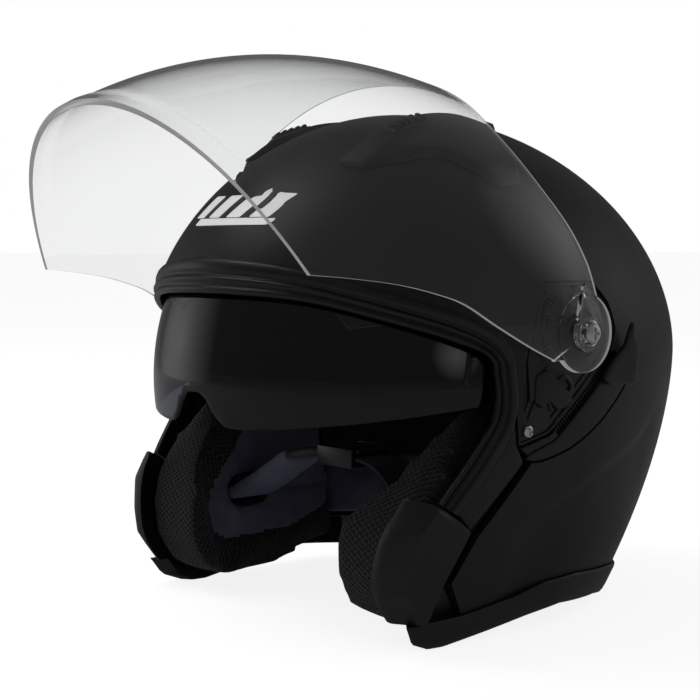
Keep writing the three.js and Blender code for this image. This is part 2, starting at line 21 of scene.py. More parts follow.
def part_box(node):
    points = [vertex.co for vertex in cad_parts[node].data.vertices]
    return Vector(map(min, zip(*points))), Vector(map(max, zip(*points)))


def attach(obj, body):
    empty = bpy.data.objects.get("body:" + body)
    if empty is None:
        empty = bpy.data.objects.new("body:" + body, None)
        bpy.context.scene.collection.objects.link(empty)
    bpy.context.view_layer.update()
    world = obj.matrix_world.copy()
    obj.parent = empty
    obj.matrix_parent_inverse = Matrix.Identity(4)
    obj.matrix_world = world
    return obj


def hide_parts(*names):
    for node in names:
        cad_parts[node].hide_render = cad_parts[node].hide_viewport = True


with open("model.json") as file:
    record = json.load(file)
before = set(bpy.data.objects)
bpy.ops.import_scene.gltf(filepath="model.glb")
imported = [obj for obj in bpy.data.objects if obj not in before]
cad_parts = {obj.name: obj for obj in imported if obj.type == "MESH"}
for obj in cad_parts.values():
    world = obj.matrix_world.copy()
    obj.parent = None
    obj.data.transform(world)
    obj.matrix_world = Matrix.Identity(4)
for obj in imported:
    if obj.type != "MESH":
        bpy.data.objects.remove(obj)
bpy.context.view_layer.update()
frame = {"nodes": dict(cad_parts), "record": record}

LOG = logging.getLogger("helmet")
MM = 0.001
SIDES = {"left": 1, "right": -1}
Points = Sequence[Sequence[float]]
Lift = Callable[[np.ndarray, np.ndarray, np.ndarray], np.ndarray]


# ---------------------------------------------------------------- the helmet's surfaces
@dataclass(frozen=True)
class Skin:
    """Outer skin of the shell: a superellipse in plan and another in elevation."""

    centre_y: float = -6.4
    half_width: float = 124.6
    front: float = 131.7
    rear: float = 156.4
    equator: float = 125.1
    height: float = 118.5
    plan_power: float = 1.95
    drop_power: float = 1.91
    tuck_side: tuple[float, float] = (0.23, 1.8)
    tuck_rear: tuple[float, float] = (0.327, 1.67)
    tuck_front: tuple[float, float] = (0.1, 2.0)
    square: tuple[float, float] = (4.0, 1.2)

    def power(self, z: np.ndarray, forward: np.ndarray) -> np.ndarray:
        """Power of the level section, squarer ahead of the middle the lower it is."""
        drop = np.maximum(0, (self.equator - z) / self.equator)
        return self.plan_power + np.where(forward, self.square[0] * drop ** self.square[1], 0)

    def spans(self, z: np.ndarray, grow: np.ndarray) -> tuple[np.ndarray, ...]:
        """Scale, half width, reach ahead and reach behind of the level section at height z."""
        rise = np.clip((z - self.equator) / (self.height + grow), 0, 1)
        drop = np.maximum(0, (self.equator - z) / self.equator)
        scale = (1 - rise**self.drop_power) ** (1 / self.drop_power)
        width = self.half_width * (1 - self.tuck_side[0] * drop ** self.tuck_side[1]) + grow
        ahead = self.front * (1 - self.tuck_front[0] * drop ** self.tuck_front[1]) + grow
        behind = self.rear * (1 - self.tuck_rear[0] * drop ** self.tuck_rear[1]) + grow
        return scale, width, ahead, behind

    def round(self, turn: np.ndarray, z: np.ndarray, grow: np.ndarray) -> np.ndarray:
        """Points in the plan direction `turn`, 0 being straight ahead, at height z."""
        scale, width, ahead, behind = self.spans(z, grow)
        x, y = np.sin(turn), -np.cos(turn)
        length = np.where(y < 0, ahead, behind)
        power = self.power(z, y < 0)
        reach = scale * (np.abs(x / width) ** power + np.abs(y / length) ** power) ** (-1 / power)
        return np.stack([x * reach, self.centre_y + y * reach, z + 0 * reach], -1)

    def side(self, y: np.ndarray, z: np.ndarray, grow: np.ndarray) -> np.ndarray:
        """Points of the left side over the side view's (y, z)."""
        scale, width, ahead, behind = self.spans(z, grow)
        along = y - self.centre_y
        length = np.where(along < 0, ahead, behind)
        power = self.power(z, along < 0)
        left = np.maximum(scale**power - np.abs(along / length) ** power, 0)
        return np.stack([width * left ** (1 / power), y + 0 * left, z + 0 * left], -1)

    def plan(self, x: np.ndarray, y: np.ndarray, grow: np.ndarray) -> np.ndarray:
        """Points of the crown over the plan's (x, y)."""
        along = y - self.centre_y
        length = np.where(along < 0, self.front, self.rear) + grow
        power = self.plan_power
        reach = (np.abs(x / (self.half_width + grow)) ** power + np.abs(along / length) ** power)
        fall = np.clip(reach ** (1 / power), 0, 1) ** self.drop_power
        z = self.equator + (self.height + grow) * (1 - fall) ** (1 / self.drop_power)
        return np.stack([x + 0 * z, y + 0 * z, z], -1)

    def ahead(self, x: np.ndarray, z: np.ndarray, grow: np.ndarray) -> np.ndarray:
        """Points of the brow over the front view's (x, z)."""
        scale, width, ahead, _ = self.spans(z, grow)
        power = self.power(z, np.array(True))
        left = np.maximum(scale**power - np.abs(x / width) ** power, 0)
        y = self.centre_y - ahead * left ** (1 / power)
        return np.stack([x + 0 * y, y, z + 0 * y], -1)

    def turn_of(self, y: np.ndarray, z: np.ndarray) -> np.ndarray:
        """Plan direction of the left side's point over the side view's (y, z)."""
        point = self.side(y, z, np.zeros_like(y))
        return np.arctan2(point[..., 0], self.centre_y - y)

    def normal(self, turn: np.ndarray, z: np.ndarray) -> np.ndarray:
        """Outward unit normals of the skin."""
        step = 1e-3
        still = np.zeros_like(z)
        across = self.round(turn + step, z, still) - self.round(turn - step, z, still)
        up = self.round(turn, z + 0.2, still) - self.round(turn, z - 0.2, still)
        out = np.cross(across, up)
        return out / np.linalg.norm(out, axis=-1, keepdims=True)


SKIN = Skin()
SHIFT_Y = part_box("outer_shell")[1].y / MM - (SKIN.centre_y + SKIN.rear)


@dataclass(frozen=True)
class Blister:
    """Surface of the clear visor: its radius from the hinge axis falls as the angle above ahead grows."""

    y: float = -9.0
    z: float = 138.5
    half_width: float = 127.0
    power: float = 2.05
    wall: float = 2.2
    fall: tuple[float, float, float] = (49.5, -187.3, 289.9)
    low: float = 0.1
    high: float = 1.6
    ear_radius: float = 18.0
    ear_inner: float = 124.8

    def radius(self, angle: np.ndarray) -> np.ndarray:
        """Reach of the middle section at an angle in radians, with both ends held softly."""
        soft = 0.06
        held = self.low + soft * np.logaddexp(0, (angle - self.low) / soft)
        held = self.high - soft * np.logaddexp(0, (self.high - held) / soft)
        a, b, c = self.fall
        return a * held**2 + b * held + c


BLISTER = Blister()


@dataclass(frozen=True)
class Lens:
    """Surface of the sun visor: a barrel turned about its own hinge axis."""

    y: float = -14.0
    z: float = 113.0
    radius: float = 120.0
    half_width: float = 115.6
    power: float = 1.95
    wall: float = 2.0
    bottom: float = -7.8
    top: float = 37.0
    arm_x: float = 107.5

    def lift(self, u: np.ndarray, v: np.ndarray, grow: np.ndarray) -> np.ndarray:
        """Points over the chart (turn across times the half width, angle above ahead times the radius)."""
        turn = u / self.half_width
        reach = (self.radius + grow) * np.abs(np.cos(turn)) ** (2 / self.power)
        angle = v / self.radius
        x = (self.half_width + grow) * np.sin(turn)
        return np.stack([x, self.y - reach * np.cos(angle), self.z + reach * np.sin(angle)], -1)


LENS = Lens()


# ---------------------------------------------------------------- outlines
def spline(points: Points, count: int = 24) -> np.ndarray:
    """Catmull-Rom curve of `count` steps through a short list of points."""
    p = np.asarray(points, float)
    out = []
    for t in np.linspace(0, len(p) - 1, count + 1):
        i = min(int(t), len(p) - 2)
        w = t - i
        p0, p1, p2, p3 = p[max(i - 1, 0)], p[i], p[i + 1], p[min(i + 2, len(p) - 1)]
        v0, v1 = (p2 - p0) / 2, (p3 - p1) / 2
        out.append((2 * p1 - 2 * p2 + v0 + v1) * w**3 + (-3 * p1 + 3 * p2 - 2 * v0 - v1) * w**2 + v0 * w + p1)
    return np.array(out)


def spaced(points: np.ndarray, count: int, closed: bool = False) -> np.ndarray:
    """The same line as `count` points at even distances."""
    line = np.vstack([points, points[:1]]) if closed else points
    run = np.concatenate([[0], np.cumsum(np.linalg.norm(np.diff(line, axis=0), axis=1))])
    stops = np.linspace(0, run[-1], count, endpoint=not closed)
    return np.stack([np.interp(stops, run, line[:, k]) for k in range(line.shape[1])], -1)


def rounded(points: Points, radius: float, step: float = 1.2) -> np.ndarray:
    """Closed outline with each corner rounded, resampled about every `step`."""
    p = np.asarray(points, float)
    line = []
    for i in range(len(p)):
        before, here, after = p[i - 1], p[i], p[(i + 1) % len(p)]
        reach_in, reach_out = np.linalg.norm(here - before), np.linalg.norm(after - here)
        cut = min(radius, 0.48 * reach_in, 0.48 * reach_out)
        start = here + (before - here) * cut / reach_in
        end = here + (after - here) * cut / reach_out
        for w in np.linspace(0, 1, 7):
            line.append((1 - w) ** 2 * start + 2 * w * (1 - w) * here + w**2 * end)
    line = np.array(line)
    length = np.linalg.norm(line - np.roll(line, 1, 0), axis=1).sum()
    return spaced(line, max(12, int(length / step)), closed=True)


def inset(loop: np.ndarray, distance: float) -> np.ndarray:
    """The closed outline moved inwards by a distance, or outwards by a negative one."""
    before, after = np.roll(loop, 1, 0), np.roll(loop, -1, 0)
    area = np.sum(before[:, 0] * loop[:, 1] - loop[:, 0] * before[:, 1])
    first, second = loop - before, after - loop
    first /= np.linalg.norm(first, axis=1, keepdims=True) + 1e-12
    second /= np.linalg.norm(second, axis=1, keepdims=True) + 1e-12
    left = np.stack([-(first + second)[:, 1], (first + second)[:, 0]], -1)
    left /= np.linalg.norm(left, axis=1, keepdims=True) + 1e-12
    bend = np.clip((left * np.stack([-first[:, 1], first[:, 0]], -1)).sum(1), 0.5, 1)
    return loop + left * (math.copysign(distance, area * distance) / bend)[:, None]


def holds(loop: np.ndarray, points: np.ndarray, margin: float) -> np.ndarray:
    """Which points lie inside a closed outline and at least `margin` from it."""
    x, y = points[:, :1], points[:, 1:]
    a, b = loop, np.roll(loop, -1, 0)
    crosses = (a[:, 1] > y) != (b[:, 1] > y)
    at = a[:, 0] + (y - a[:, 1]) * (b[:, 0] - a[:, 0]) / np.where(b[:, 1] == a[:, 1], 1e-9, b[:, 1] - a[:, 1])
    inside = (crosses & (x < at)).sum(1) % 2 == 1
    near = np.min((x - a[:, 0]) ** 2 + (y - a[:, 1]) ** 2, axis=1)
    return inside & (near > margin**2)


def distance_to(line: np.ndarray, y: np.ndarray, z: np.ndarray) -> np.ndarray:
    """Distance of each (y, z) from an open line."""
    point = np.stack([y, z], -1)[..., None, :]
    a, b = line[:-1], line[1:]
    share = ((point - a) * (b - a)).sum(-1) / ((b - a) ** 2).sum(-1)
    foot = a + np.clip(share, 0, 1)[..., None] * (b - a)
    return np.linalg.norm(point - foot, axis=-1).min(-1)


def eased(value: np.ndarray, low: float, high: float) -> np.ndarray:
    """0 below `low`, 1 above `high` and a smooth step between."""
    t = np.clip((value - low) / (high - low), 0, 1)
    return t * t * (3 - 2 * t)


JAW_REACH, JAW_START, JAW_SPAN, JAW_MOST = 21.5, 20, 72, 0.7


def reached(points: Points) -> np.ndarray:
    """Side view points carried forward with the jaw, the more so the lower and the further ahead."""
    moved = np.array(points, float)
    drop = np.maximum(0, (SKIN.equator - moved[:, 1]) / SKIN.equator)
    share = np.clip((-moved[:, 0] - JAW_START) / JAW_SPAN, 0, JAW_MOST)
    moved[:, 0] -= JAW_REACH * np.sqrt(drop) * share
    return moved


# Side view outlines, as (y, z).
GASKET_OUTER = reached(spline([(-126, 172), (-117.5, 168.6), (-94, 158), (-63.5, 146), (-50, 136.5),
                               (-44.5, 122), (-44, 104), (-50, 88), (-66, 62)], 64))
GASKET_INNER = reached(spline([(-135, 157.5), (-117, 154), (-96, 146), (-70, 136), (-56, 128.5),
                               (-52, 116), (-53, 103), (-58, 93), (-73, 67)], 64))
SLOT_REAR = reached([(-33, 82), (-54, 50), (-61, 30), (-52, 14)])
TRIM_TOP = reached([(-77, 13.3), (-69, 13.3), (-52, 14), (-29, 18), (-11, 23), (10, 24), (47, 21),
                    (80, 16), (120, 14)])
TRIM_BOTTOM = reached([(-77, 13.2), (-71, 4), (-63, 0.2), (-56, 0), (-36, 3.5), (-18, 7), (4, 9.7),
                       (39, 7.5), (76, 0), (120, 0)])
JAW_FRONT = reached(spline([(-83, 70), (-90, 56), (-92, 44), (-91.5, 33), (-88, 24), (-80, 13.6)], 24))
PLATE = reached([(-41, 89), (-25, 94), (-10, 108), (12, 128), (17, 140), (14, 152), (5, 161), (-27, 161),
                 (-34, 148), (-40, 128), (-40, 106)])
LEAF = reached([(-37, 83), *spline([(-30, 82), (-12, 86.5), (8, 98), (25, 113)], 6), (27, 131),
                (21.5, 130.6), (-22, 90.7), (-35.5, 85.5)])
LEVER_SLOT = reached([(-23, 95.5), (14, 129.5), (19, 126.5), (-18, 92)])
RELEASE_LEVER = reached([(-34, 120), (-28, 123), (-20, 115), (-15, 112), (-13, 109), (-17, 105.5),
                         (-22.5, 104.5), (-26.5, 109), (-30, 105.5), (-34.5, 109), (-34, 115)])
CHEEK = reached([(-60, 90), (-68, 76), (-80, 62), (-85, 46), (-84, 30), (-75, 13), (-58, 4.5),
                 (-30, 6.5), (10, 19), (13.8, 60), (13.8, 112), (-28, 112), (-46, 104)])
JAW_RIDGE = reached([(-74, 70), (-75, 67), (-83.5, 55), (-85, 40), (-84, 29), (-72, 15), (-71, 13)])
JAW_BROW = reached([(-76.5, 64.5), (-62, 54.5)])
CREASE = reached(spline([(66, 100), (44, 87), (10.5, 74), (-15, 63), (-35, 53), (-42, 42), (-43, 33)], 40))


# ---------------------------------------------------------------- meshes
def make(name: str, points: np.ndarray, faces: Sequence[Sequence[int]]) -> bpy.types.Object:
    """A new object from points in millimetres, with its faces turned outwards."""
    placed = (np.asarray(points, float) + (0, SHIFT_Y, 0)) * MM
    mesh = bpy.data.meshes.new(name)
    mesh.from_pydata(placed.tolist(), [], [list(map(int, face)) for face in faces])
    mesh.validate()
    work = bmesh.new()
    work.from_mesh(mesh)
    bmesh.ops.remove_doubles(work, verts=work.verts, dist=1e-6)
    bmesh.ops.recalc_face_normals(work, faces=work.faces)
    work.to_mesh(mesh)
    work.free()
    thing = bpy.data.objects.new(name, mesh)
    bpy.context.scene.collection.objects.link(thing)
    return thing


def in_mm(thing: bpy.types.Object) -> np.ndarray:
    """A mesh's points in the shell's own frame, in millimetres."""
    flat = np.empty(len(thing.data.vertices) * 3)
    thing.data.vertices.foreach_get("co", flat)
    return flat.reshape(-1, 3) / MM - (0, SHIFT_Y, 0)


def put_mm(thing: bpy.types.Object, points: np.ndarray) -> None:
    """Writes a mesh's points back from millimetres."""
    thing.data.vertices.foreach_set("co", ((points + (0, SHIFT_Y, 0)) * MM).ravel())
    thing.data.update()


def applied(thing: bpy.types.Object) -> bpy.types.Object:
    """Turns an object with modifiers into its plain result."""
    graph = bpy.context.evaluated_depsgraph_get()
    mesh = bpy.data.meshes.new_from_object(thing.evaluated_get(graph), depsgraph=graph)
    thing.modifiers.clear()
    thing.data = mesh
    return thing


def combined(thing: bpy.types.Object, others: Sequence[bpy.types.Object], how: str) -> bpy.types.Object:
    """Joins to a solid, or cuts from it, each of the others, which are used up."""
    for other in others:
        step = thing.modifiers.new("step", "BOOLEAN")
        step.operation, step.solver, step.object = how, "MANIFOLD", other
        applied(thing)
        bpy.data.objects.remove(other)
    thing.data.materials.clear()
    thing.data.polygons.foreach_set("material_index", np.zeros(len(thing.data.polygons), np.int32))
    return thing


def tube(rings: np.ndarray) -> tuple[np.ndarray, list[list[int]]]:
    """Closed skin over a row of closed rings, capped at both ends."""
    count, around, _ = rings.shape
    faces = []
    for i in range(count - 1):
        for j in range(around):
            k = (j + 1) % around
            faces.append([i * around + j, i * around + k, (i + 1) * around + k, (i + 1) * around + j])
    faces += [list(range(around))[::-1], [(count - 1) * around + j for j in range(around)]]
    return rings.reshape(-1, 3), faces


def dome(name: str, grow: float, floor: float, columns: int, rows: int,
         relief: Optional[Callable[[np.ndarray], np.ndarray]] = None) -> bpy.types.Object:
    """Closed solid inside the skin, moved out by `grow` and by the relief at each point."""
    low = int(rows * 0.5)
    heights = list(np.linspace(floor, SKIN.equator, low))
    heights += [SKIN.equator + (SKIN.height + grow) * math.sin(k / (rows - low) * math.pi / 2)
                for k in range(1, rows - low)]
    turn = np.linspace(0, 2 * math.pi, columns, endpoint=False)[None, :]
    level = np.array(heights)[:, None]
    rings = SKIN.round(turn, level, np.full_like(level, grow))
    if relief is not None:
        rings = SKIN.round(turn, level, grow + relief(rings))
    points, sides = tube(rings)
    faces = sides[:-2]
    base, top = len(points), len(points) + 1
    ends = [(0, SKIN.centre_y, floor), (0, SKIN.centre_y, SKIN.equator + SKIN.height + grow)]
    last = (len(heights) - 1) * columns
    for j in range(columns):
        k = (j + 1) % columns
        faces += [[base, k, j], [top, last + j, last + k]]
    return make(name, np.vstack([points, ends]), faces)


def prism(name: str, outline: Points, start: float, end: float) -> bpy.types.Object:
    """A side view outline run along X from start to end."""
    loop = np.asarray(outline, float)
    rings = [np.column_stack([np.full(len(loop), x), loop]) for x in (start, end)]
    points, faces = tube(np.array(rings))
    return make(name, points, faces)


def draped(name: str, lift: Lift, outline: np.ndarray, rows: Points, spacing: float = 3.0,
           crown: Optional[Callable[[np.ndarray, np.ndarray], np.ndarray]] = None,
           ridges: Sequence[np.ndarray] = ()) -> bpy.types.Object:
    """Closed plate that follows a surface.

    Args:
        name: the new object's name.
        lift: takes the flat outline's coordinates and a growth to points on the surface.
        outline: closed outline in the flat coordinates.
        rows: (inset, growth, share of the crown) of each loop, from the face round to the back.
        spacing: distance between the points inside both faces.
        crown: extra growth of the face over the flat coordinates.
        ridges: open lines inside the face that its edges follow.

    Returns:
        The plate as a new object.
    """
    def raised(flat: np.ndarray, row: Sequence[float]) -> np.ndarray:
        """Points of one row of the plate."""
        extra = crown(flat[:, 0], flat[:, 1]) * row[2] if crown and len(row) > 2 else 0
        return lift(flat[:, 0], flat[:, 1], np.full(len(flat), float(row[1])) + extra)

    loops = [inset(outline, row[0]) for row in rows]
    count = len(outline)
    points, _ = tube(np.array([raised(loop, row) for loop, row in zip(loops, rows)]))
    faces = tube(points.reshape(len(rows), count, 3))[1][:-2]
    points = list(points)
    for index in (0, len(rows) - 1):
        loop = loops[index]
        low, high = loop.min(0), loop.max(0)
        columns = np.arange(low[0], high[0], spacing)
        lines = np.arange(low[1], high[1], spacing * 0.87)
        net = np.array([(u + (k % 2) * spacing / 2, v) for k, v in enumerate(lines) for u in columns])
        net = net.reshape(-1, 2)
        net = net[holds(loop, net, spacing * 0.55)] if len(net) else net
        flat, creases = [loop], []
        for line in ridges if index == 0 else ():
            line = spaced(line, max(3, int(np.linalg.norm(np.diff(line, axis=0), axis=1).sum() / spacing)))
            line = line[holds(loop, line, 0.3)]
            net = net[distance_to(line, net[:, 0], net[:, 1]) > spacing * 0.5]
            first = sum(map(len, flat))
            creases += [(first + k, first + k + 1) for k in range(len(line) - 1)]
            flat.append(line)
        flat = np.vstack([*flat, net])
        found = delaunay_2d_cdt([Vector(p) for p in flat], creases, [list(range(count))], 1, 1e-7)
        where = {}
        for new, old in enumerate(found[3]):
            if old and old[0] < count:
                where[new] = index * count + old[0]
        inner = [k for k in range(len(found[0])) if k not in where]
        if inner:
            spots = np.array([tuple(found[0][k]) for k in inner])
            for k, point in zip(inner, raised(spots, rows[index])):
                where[k] = len(points)
                points.append(point)
        faces += [[where[k] for k in face] for face in found[2]]
    return make(name, np.array(points), faces)


def on_side(side: int) -> Lift:
    """Lift of side view outlines onto the left (1) or right (-1) side of the skin."""
    return lambda y, z, grow: SKIN.side(y, z, grow) * (side, 1, 1)


def flat_on(side: int, x: float) -> Lift:
    """Lift of side view outlines onto a flat face at x, growing outwards."""
    return lambda y, z, grow: np.stack([side * (x + grow), y, z], -1)


def soft_edge(thing: bpy.types.Object, width: float, angle: float = 35,
              segments: int = 2) -> bpy.types.Object:
    """Rounds a solid's sharp edges by a width in millimetres."""
    edge = thing.modifiers.new("edge", "BEVEL")
    edge.width, edge.segments, edge.limit_method = width * MM, segments, "ANGLE"
    edge.angle_limit = math.radians(angle)
    edge.miter_outer = "MITER_ARC"
    return applied(thing)


def smoothed(thing: bpy.types.Object, angle: float = 38) -> bpy.types.Object:
    """Smooth shading that stays sharp across edges steeper than the angle."""
    mesh = thing.data
    mesh.shade_smooth()
    mesh.set_sharp_from_angle(angle=math.radians(angle))
    return thing


def recast(node: str, name: str, width: float, segments: int = 2) -> bpy.types.Object:
    """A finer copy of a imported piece: facets merged into whole faces and edges rounded."""
    mesh = frame["nodes"][node].data.copy()
    work = bmesh.new()
    work.from_mesh(mesh)
    bmesh.ops.remove_doubles(work, verts=work.verts, dist=1e-6)
    bmesh.ops.dissolve_limit(work, angle_limit=math.radians(4), verts=work.verts, edges=work.edges)
    work.to_mesh(mesh)
    work.free()
    thing = bpy.data.objects.new(name, mesh)
    bpy.context.scene.collection.objects.link(thing)
    mesh.materials.clear()
    return soft_edge(thing, width, 30, segments)


def remeshed(thing: bpy.types.Object, size: float, rounds: int) -> bpy.types.Object:
    """A moulded look for a solid: an even net of `size` millimetres, relaxed `rounds` times."""
    net = thing.modifiers.new("net", "REMESH")
    net.mode, net.voxel_size, net.use_smooth_shade = "VOXEL", size * MM, True
    applied(thing)
    if rounds:
        ease = thing.modifiers.new("ease", "SMOOTH")
        ease.factor, ease.iterations = 0.5, rounds
        applied(thing)
    return thing


# ---------------------------------------------------------------- node trees
class Graph:
    """A node tree, with short calls that add and join its nodes."""

    def __init__(self, tree: bpy.types.NodeTree) -> None:
        """Wraps a tree."""
        self.tree = tree

    def add(self, kind: str, sockets: Optional[dict] = None, **settings: object) -> bpy.types.Node:
        """Adds a node.

        Args:
            kind: the node's type.
            sockets: values or other nodes' outputs, by input name or number.
            settings: the node's own properties.

        Returns:
            The new node.
        """
        made = self.tree.nodes.new(kind)
        for key, value in settings.items():
            setattr(made, key, value)
        for key, value in (sockets or {}).items():
            if isinstance(value, bpy.types.NodeSocket):
                self.tree.links.new(value, made.inputs[key])
            else:
                made.inputs[key].default_value = value
        return made

    def maths(self, operation: str, *values: object) -> bpy.types.NodeSocket:
        """Result of a Math node on values or sockets."""
        return self.add("ShaderNodeMath", dict(enumerate(values)), operation=operation).outputs[0]

    def vector(self, operation: str, *values: object) -> bpy.types.NodeSocket:
        """Result of a Vector Math node on vectors or sockets."""
        made = self.add("ShaderNodeVectorMath", dict(enumerate(values)), operation=operation)
        return made.outputs["Value" if operation == "LENGTH" else "Vector"]

    def noise(self, where: bpy.types.NodeSocket, scale: object, detail: float = 2.0) -> bpy.types.NodeSocket:
        """Noise between 0 and 1 at a scale per metre."""
        return self.add("ShaderNodeTexNoise", {"Vector": where, "Scale": scale, "Detail": detail}).outputs[0]

    def ramp(self, value: bpy.types.NodeSocket, low: object, high: object, start: object = 0.0,
             end: object = 1.0) -> bpy.types.NodeSocket:
        """Maps low..high of a value to start..end, held at both ends."""
        return self.add("ShaderNodeMapRange", {0: value, 1: low, 2: high, 3: start, 4: end}).outputs[0]

    def blend(self, share: object, first: object, second: object) -> bpy.types.NodeSocket:
        """Mix of two colours."""
        return self.add("ShaderNodeMix", {0: share, 6: first, 7: second}, data_type="RGBA").outputs[2]


def shader_group(name: str, inputs: dict[str, str],
                 outputs: dict[str, str]) -> tuple[Graph, dict, bpy.types.Node]:
    """Starts a shader node group.

    Args:
        name: the group's name.
        inputs: socket type by input name.
        outputs: socket type by output name.

    Returns:
        The group's graph, its inputs by name and its output node.
    """
    tree = bpy.data.node_groups.new(name, "ShaderNodeTree")
    for way, sockets in (("INPUT", inputs), ("OUTPUT", outputs)):
        for label, kind in sockets.items():
            tree.interface.new_socket(label, in_out=way, socket_type=f"NodeSocket{kind}")
    graph = Graph(tree)
    entry = graph.add("NodeGroupInput")
    return graph, {label: entry.outputs[label] for label in inputs}, graph.add("NodeGroupOutput")


class Effects:
    """The effects that several finishes share, each a shader node group."""

    def __init__(self) -> None:
        """Builds every group once."""
        self.grain = self._grain()
        self.wear_and_highlight = self._wear_and_highlight()
        self.spacer = self._spacer()
        self.weave = self._weave()
        self.lint = self._lint()

    @staticmethod
    def _grain() -> bpy.types.NodeTree:
        """Fine moulded or sprayed grain, with broad shifts of colour and roughness."""
        graph, given, out = shader_group(
            "moulded_grain",
            {"Vector": "Vector", "Scale": "Float", "Colour": "Color", "Shift": "Float", "Low": "Float",
             "High": "Float"},
            {"Colour": "Color", "Roughness": "Float", "Height": "Float"})
        fine = graph.noise(given["Vector"], given["Scale"], 3.0)
        broad = graph.noise(given["Vector"], graph.maths("MULTIPLY", given["Scale"], 0.02), 2.0)
        lighter = graph.vector("SCALE", given["Colour"])
        lighter.node.inputs["Scale"].default_value = 1.5
        share = graph.maths("MULTIPLY", broad, given["Shift"])
        for label, value in (("Colour", graph.blend(share, given["Colour"], lighter)),
                             ("Roughness", graph.ramp(graph.maths("MULTIPLY_ADD", fine, 0.4, graph.maths(
                                 "MULTIPLY", broad, 0.6)), 0.3, 0.7, given["Low"], given["High"])),
                             ("Height", fine)):
            graph.tree.links.new(value, out.inputs[label])
        return graph.tree

    @staticmethod
    def _wear_and_highlight() -> bpy.types.NodeTree:
        """Edges painted a little lighter than the faces beside them: partly worn by rubbing, partly a painted
        highlight along rounded edges.
        """
        graph, given, out = shader_group(
            "edge_wear_and_highlight", {"Vector": "Vector", "Colour": "Color", "Edge": "Color", "Amount": "Float"},
            {"Colour": "Color", "Mask": "Float"})
        bend = graph.add("ShaderNodeNewGeometry").outputs["Pointiness"]
        patchy = graph.ramp(graph.noise(given["Vector"], 140.0, 3.0), 0.35, 0.7)
        # Sharp convex edges get lighter: worn edges and a painted edge highlight together.
        worn_and_lit_edges = graph.maths("MULTIPLY", graph.ramp(bend, 0.51, 0.6), patchy)
        mask = graph.maths("MULTIPLY", worn_and_lit_edges, given["Amount"])
        graph.tree.links.new(mask, out.inputs["Mask"])
        graph.tree.links.new(graph.blend(mask, given["Colour"], given["Edge"]), out.inputs["Colour"])
        return graph.tree

    @staticmethod
    def _spacer() -> bpy.types.NodeTree:
        """Open spacer knit: staggered holes between raised loops of yarn."""
        graph, given, out = shader_group(
            "spacer_knit", {"Vector": "Vector", "Across": "Float", "Along": "Float", "Hole": "Float"},
            {"Hole": "Float", "Height": "Float"})
        pitch = graph.add("ShaderNodeCombineXYZ", {0: given["Across"], 1: given["Along"], 2: 1.0}).outputs[0]
        sway = graph.add("ShaderNodeTexNoise", {"Vector": given["Vector"], "Scale": 0.25}).outputs["Color"]
        moved = graph.vector("ADD", given["Vector"], graph.vector("MULTIPLY", sway, (0.9, 0.9, 0)))
        cells = []
        for offset in (0.0, 0.5):
            cell = graph.vector("FRACTION", graph.vector("ADD", graph.vector("DIVIDE", moved, pitch),
                                                         (offset, offset, 0)))
            middle = graph.vector("MULTIPLY", graph.vector("SUBTRACT", cell, (0.5, 0.5, 0)), pitch)
            cells.append(graph.vector("LENGTH", graph.vector("MULTIPLY", middle, (1, 0.72, 0))))
        near = graph.maths("MINIMUM", *cells)
        fibre = graph.noise(given["Vector"], 3.0, 3.0)
        wide = graph.maths("MULTIPLY", given["Hole"], graph.ramp(fibre, 0.3, 0.7, 0.75, 1.25))
        hole = graph.ramp(near, graph.maths("MULTIPLY", wide, 0.55), wide, 1.0, 0.0)
        rise = graph.maths("SUBTRACT", graph.maths("MULTIPLY", fibre, 0.3), hole)
        loop = graph.ramp(near, 0.0, graph.maths("MULTIPLY", given["Hole"], 2.0), 0.0, 0.7)
        dome_up = graph.maths("ADD", rise, loop)
        graph.tree.links.new(hole, out.inputs["Hole"])
        graph.tree.links.new(dome_up, out.inputs["Height"])
        return graph.tree

    @staticmethod
    def _weave() -> bpy.types.NodeTree:
        """Plain weave: rows of over and under threads, with painted shade on the threads that pass under."""
        graph, given, out = shader_group(
            "plain_weave", {"Vector": "Vector", "Pitch": "Float"}, {"Height": "Float", "Shade": "Float"})
        cell = graph.vector("DIVIDE", given["Vector"], graph.add(
            "ShaderNodeCombineXYZ", {0: given["Pitch"], 1: given["Pitch"], 2: 1.0}).outputs[0])
        split = graph.add("ShaderNodeSeparateXYZ", {0: cell})
        waves = [graph.maths("SINE", graph.maths("MULTIPLY", split.outputs[k], math.tau)) for k in (0, 1)]
        over = graph.maths("MULTIPLY", *waves)
        height = graph.ramp(over, -1.0, 1.0)
        fibre = graph.noise(given["Vector"], 4.0, 2.0)
        graph.tree.links.new(graph.maths("MULTIPLY_ADD", fibre, 0.3, height), out.inputs["Height"])
        # Shade output: painted shade, darker where a thread passes under.
        graph.tree.links.new(graph.ramp(over, -0.8, 0.8, 0.55, 1.0), out.inputs["Shade"])
        return graph.tree

    @staticmethod
    def _lint() -> bpy.types.NodeTree:
        """Nap of a brushed fabric with small pale fibres caught in it."""
        graph, given, out = shader_group(
            "lint", {"Vector": "Vector", "Colour": "Color", "Fibre": "Color", "Amount": "Float"},
            {"Colour": "Color", "Height": "Float"})
        nap = graph.noise(given["Vector"], 1400.0, 4.0)
        patch = graph.noise(given["Vector"], 60.0, 3.0)
        speck = graph.maths("MULTIPLY", graph.ramp(nap, 0.56, 0.7), given["Amount"])
        toned = graph.blend(graph.ramp(patch, 0.3, 0.7, 0.0, 0.35), given["Colour"], given["Fibre"])
        graph.tree.links.new(graph.blend(speck, toned, given["Fibre"]), out.inputs["Colour"])
        graph.tree.links.new(graph.maths("MULTIPLY_ADD", patch, 0.5, nap), out.inputs["Height"])
        return graph.tree


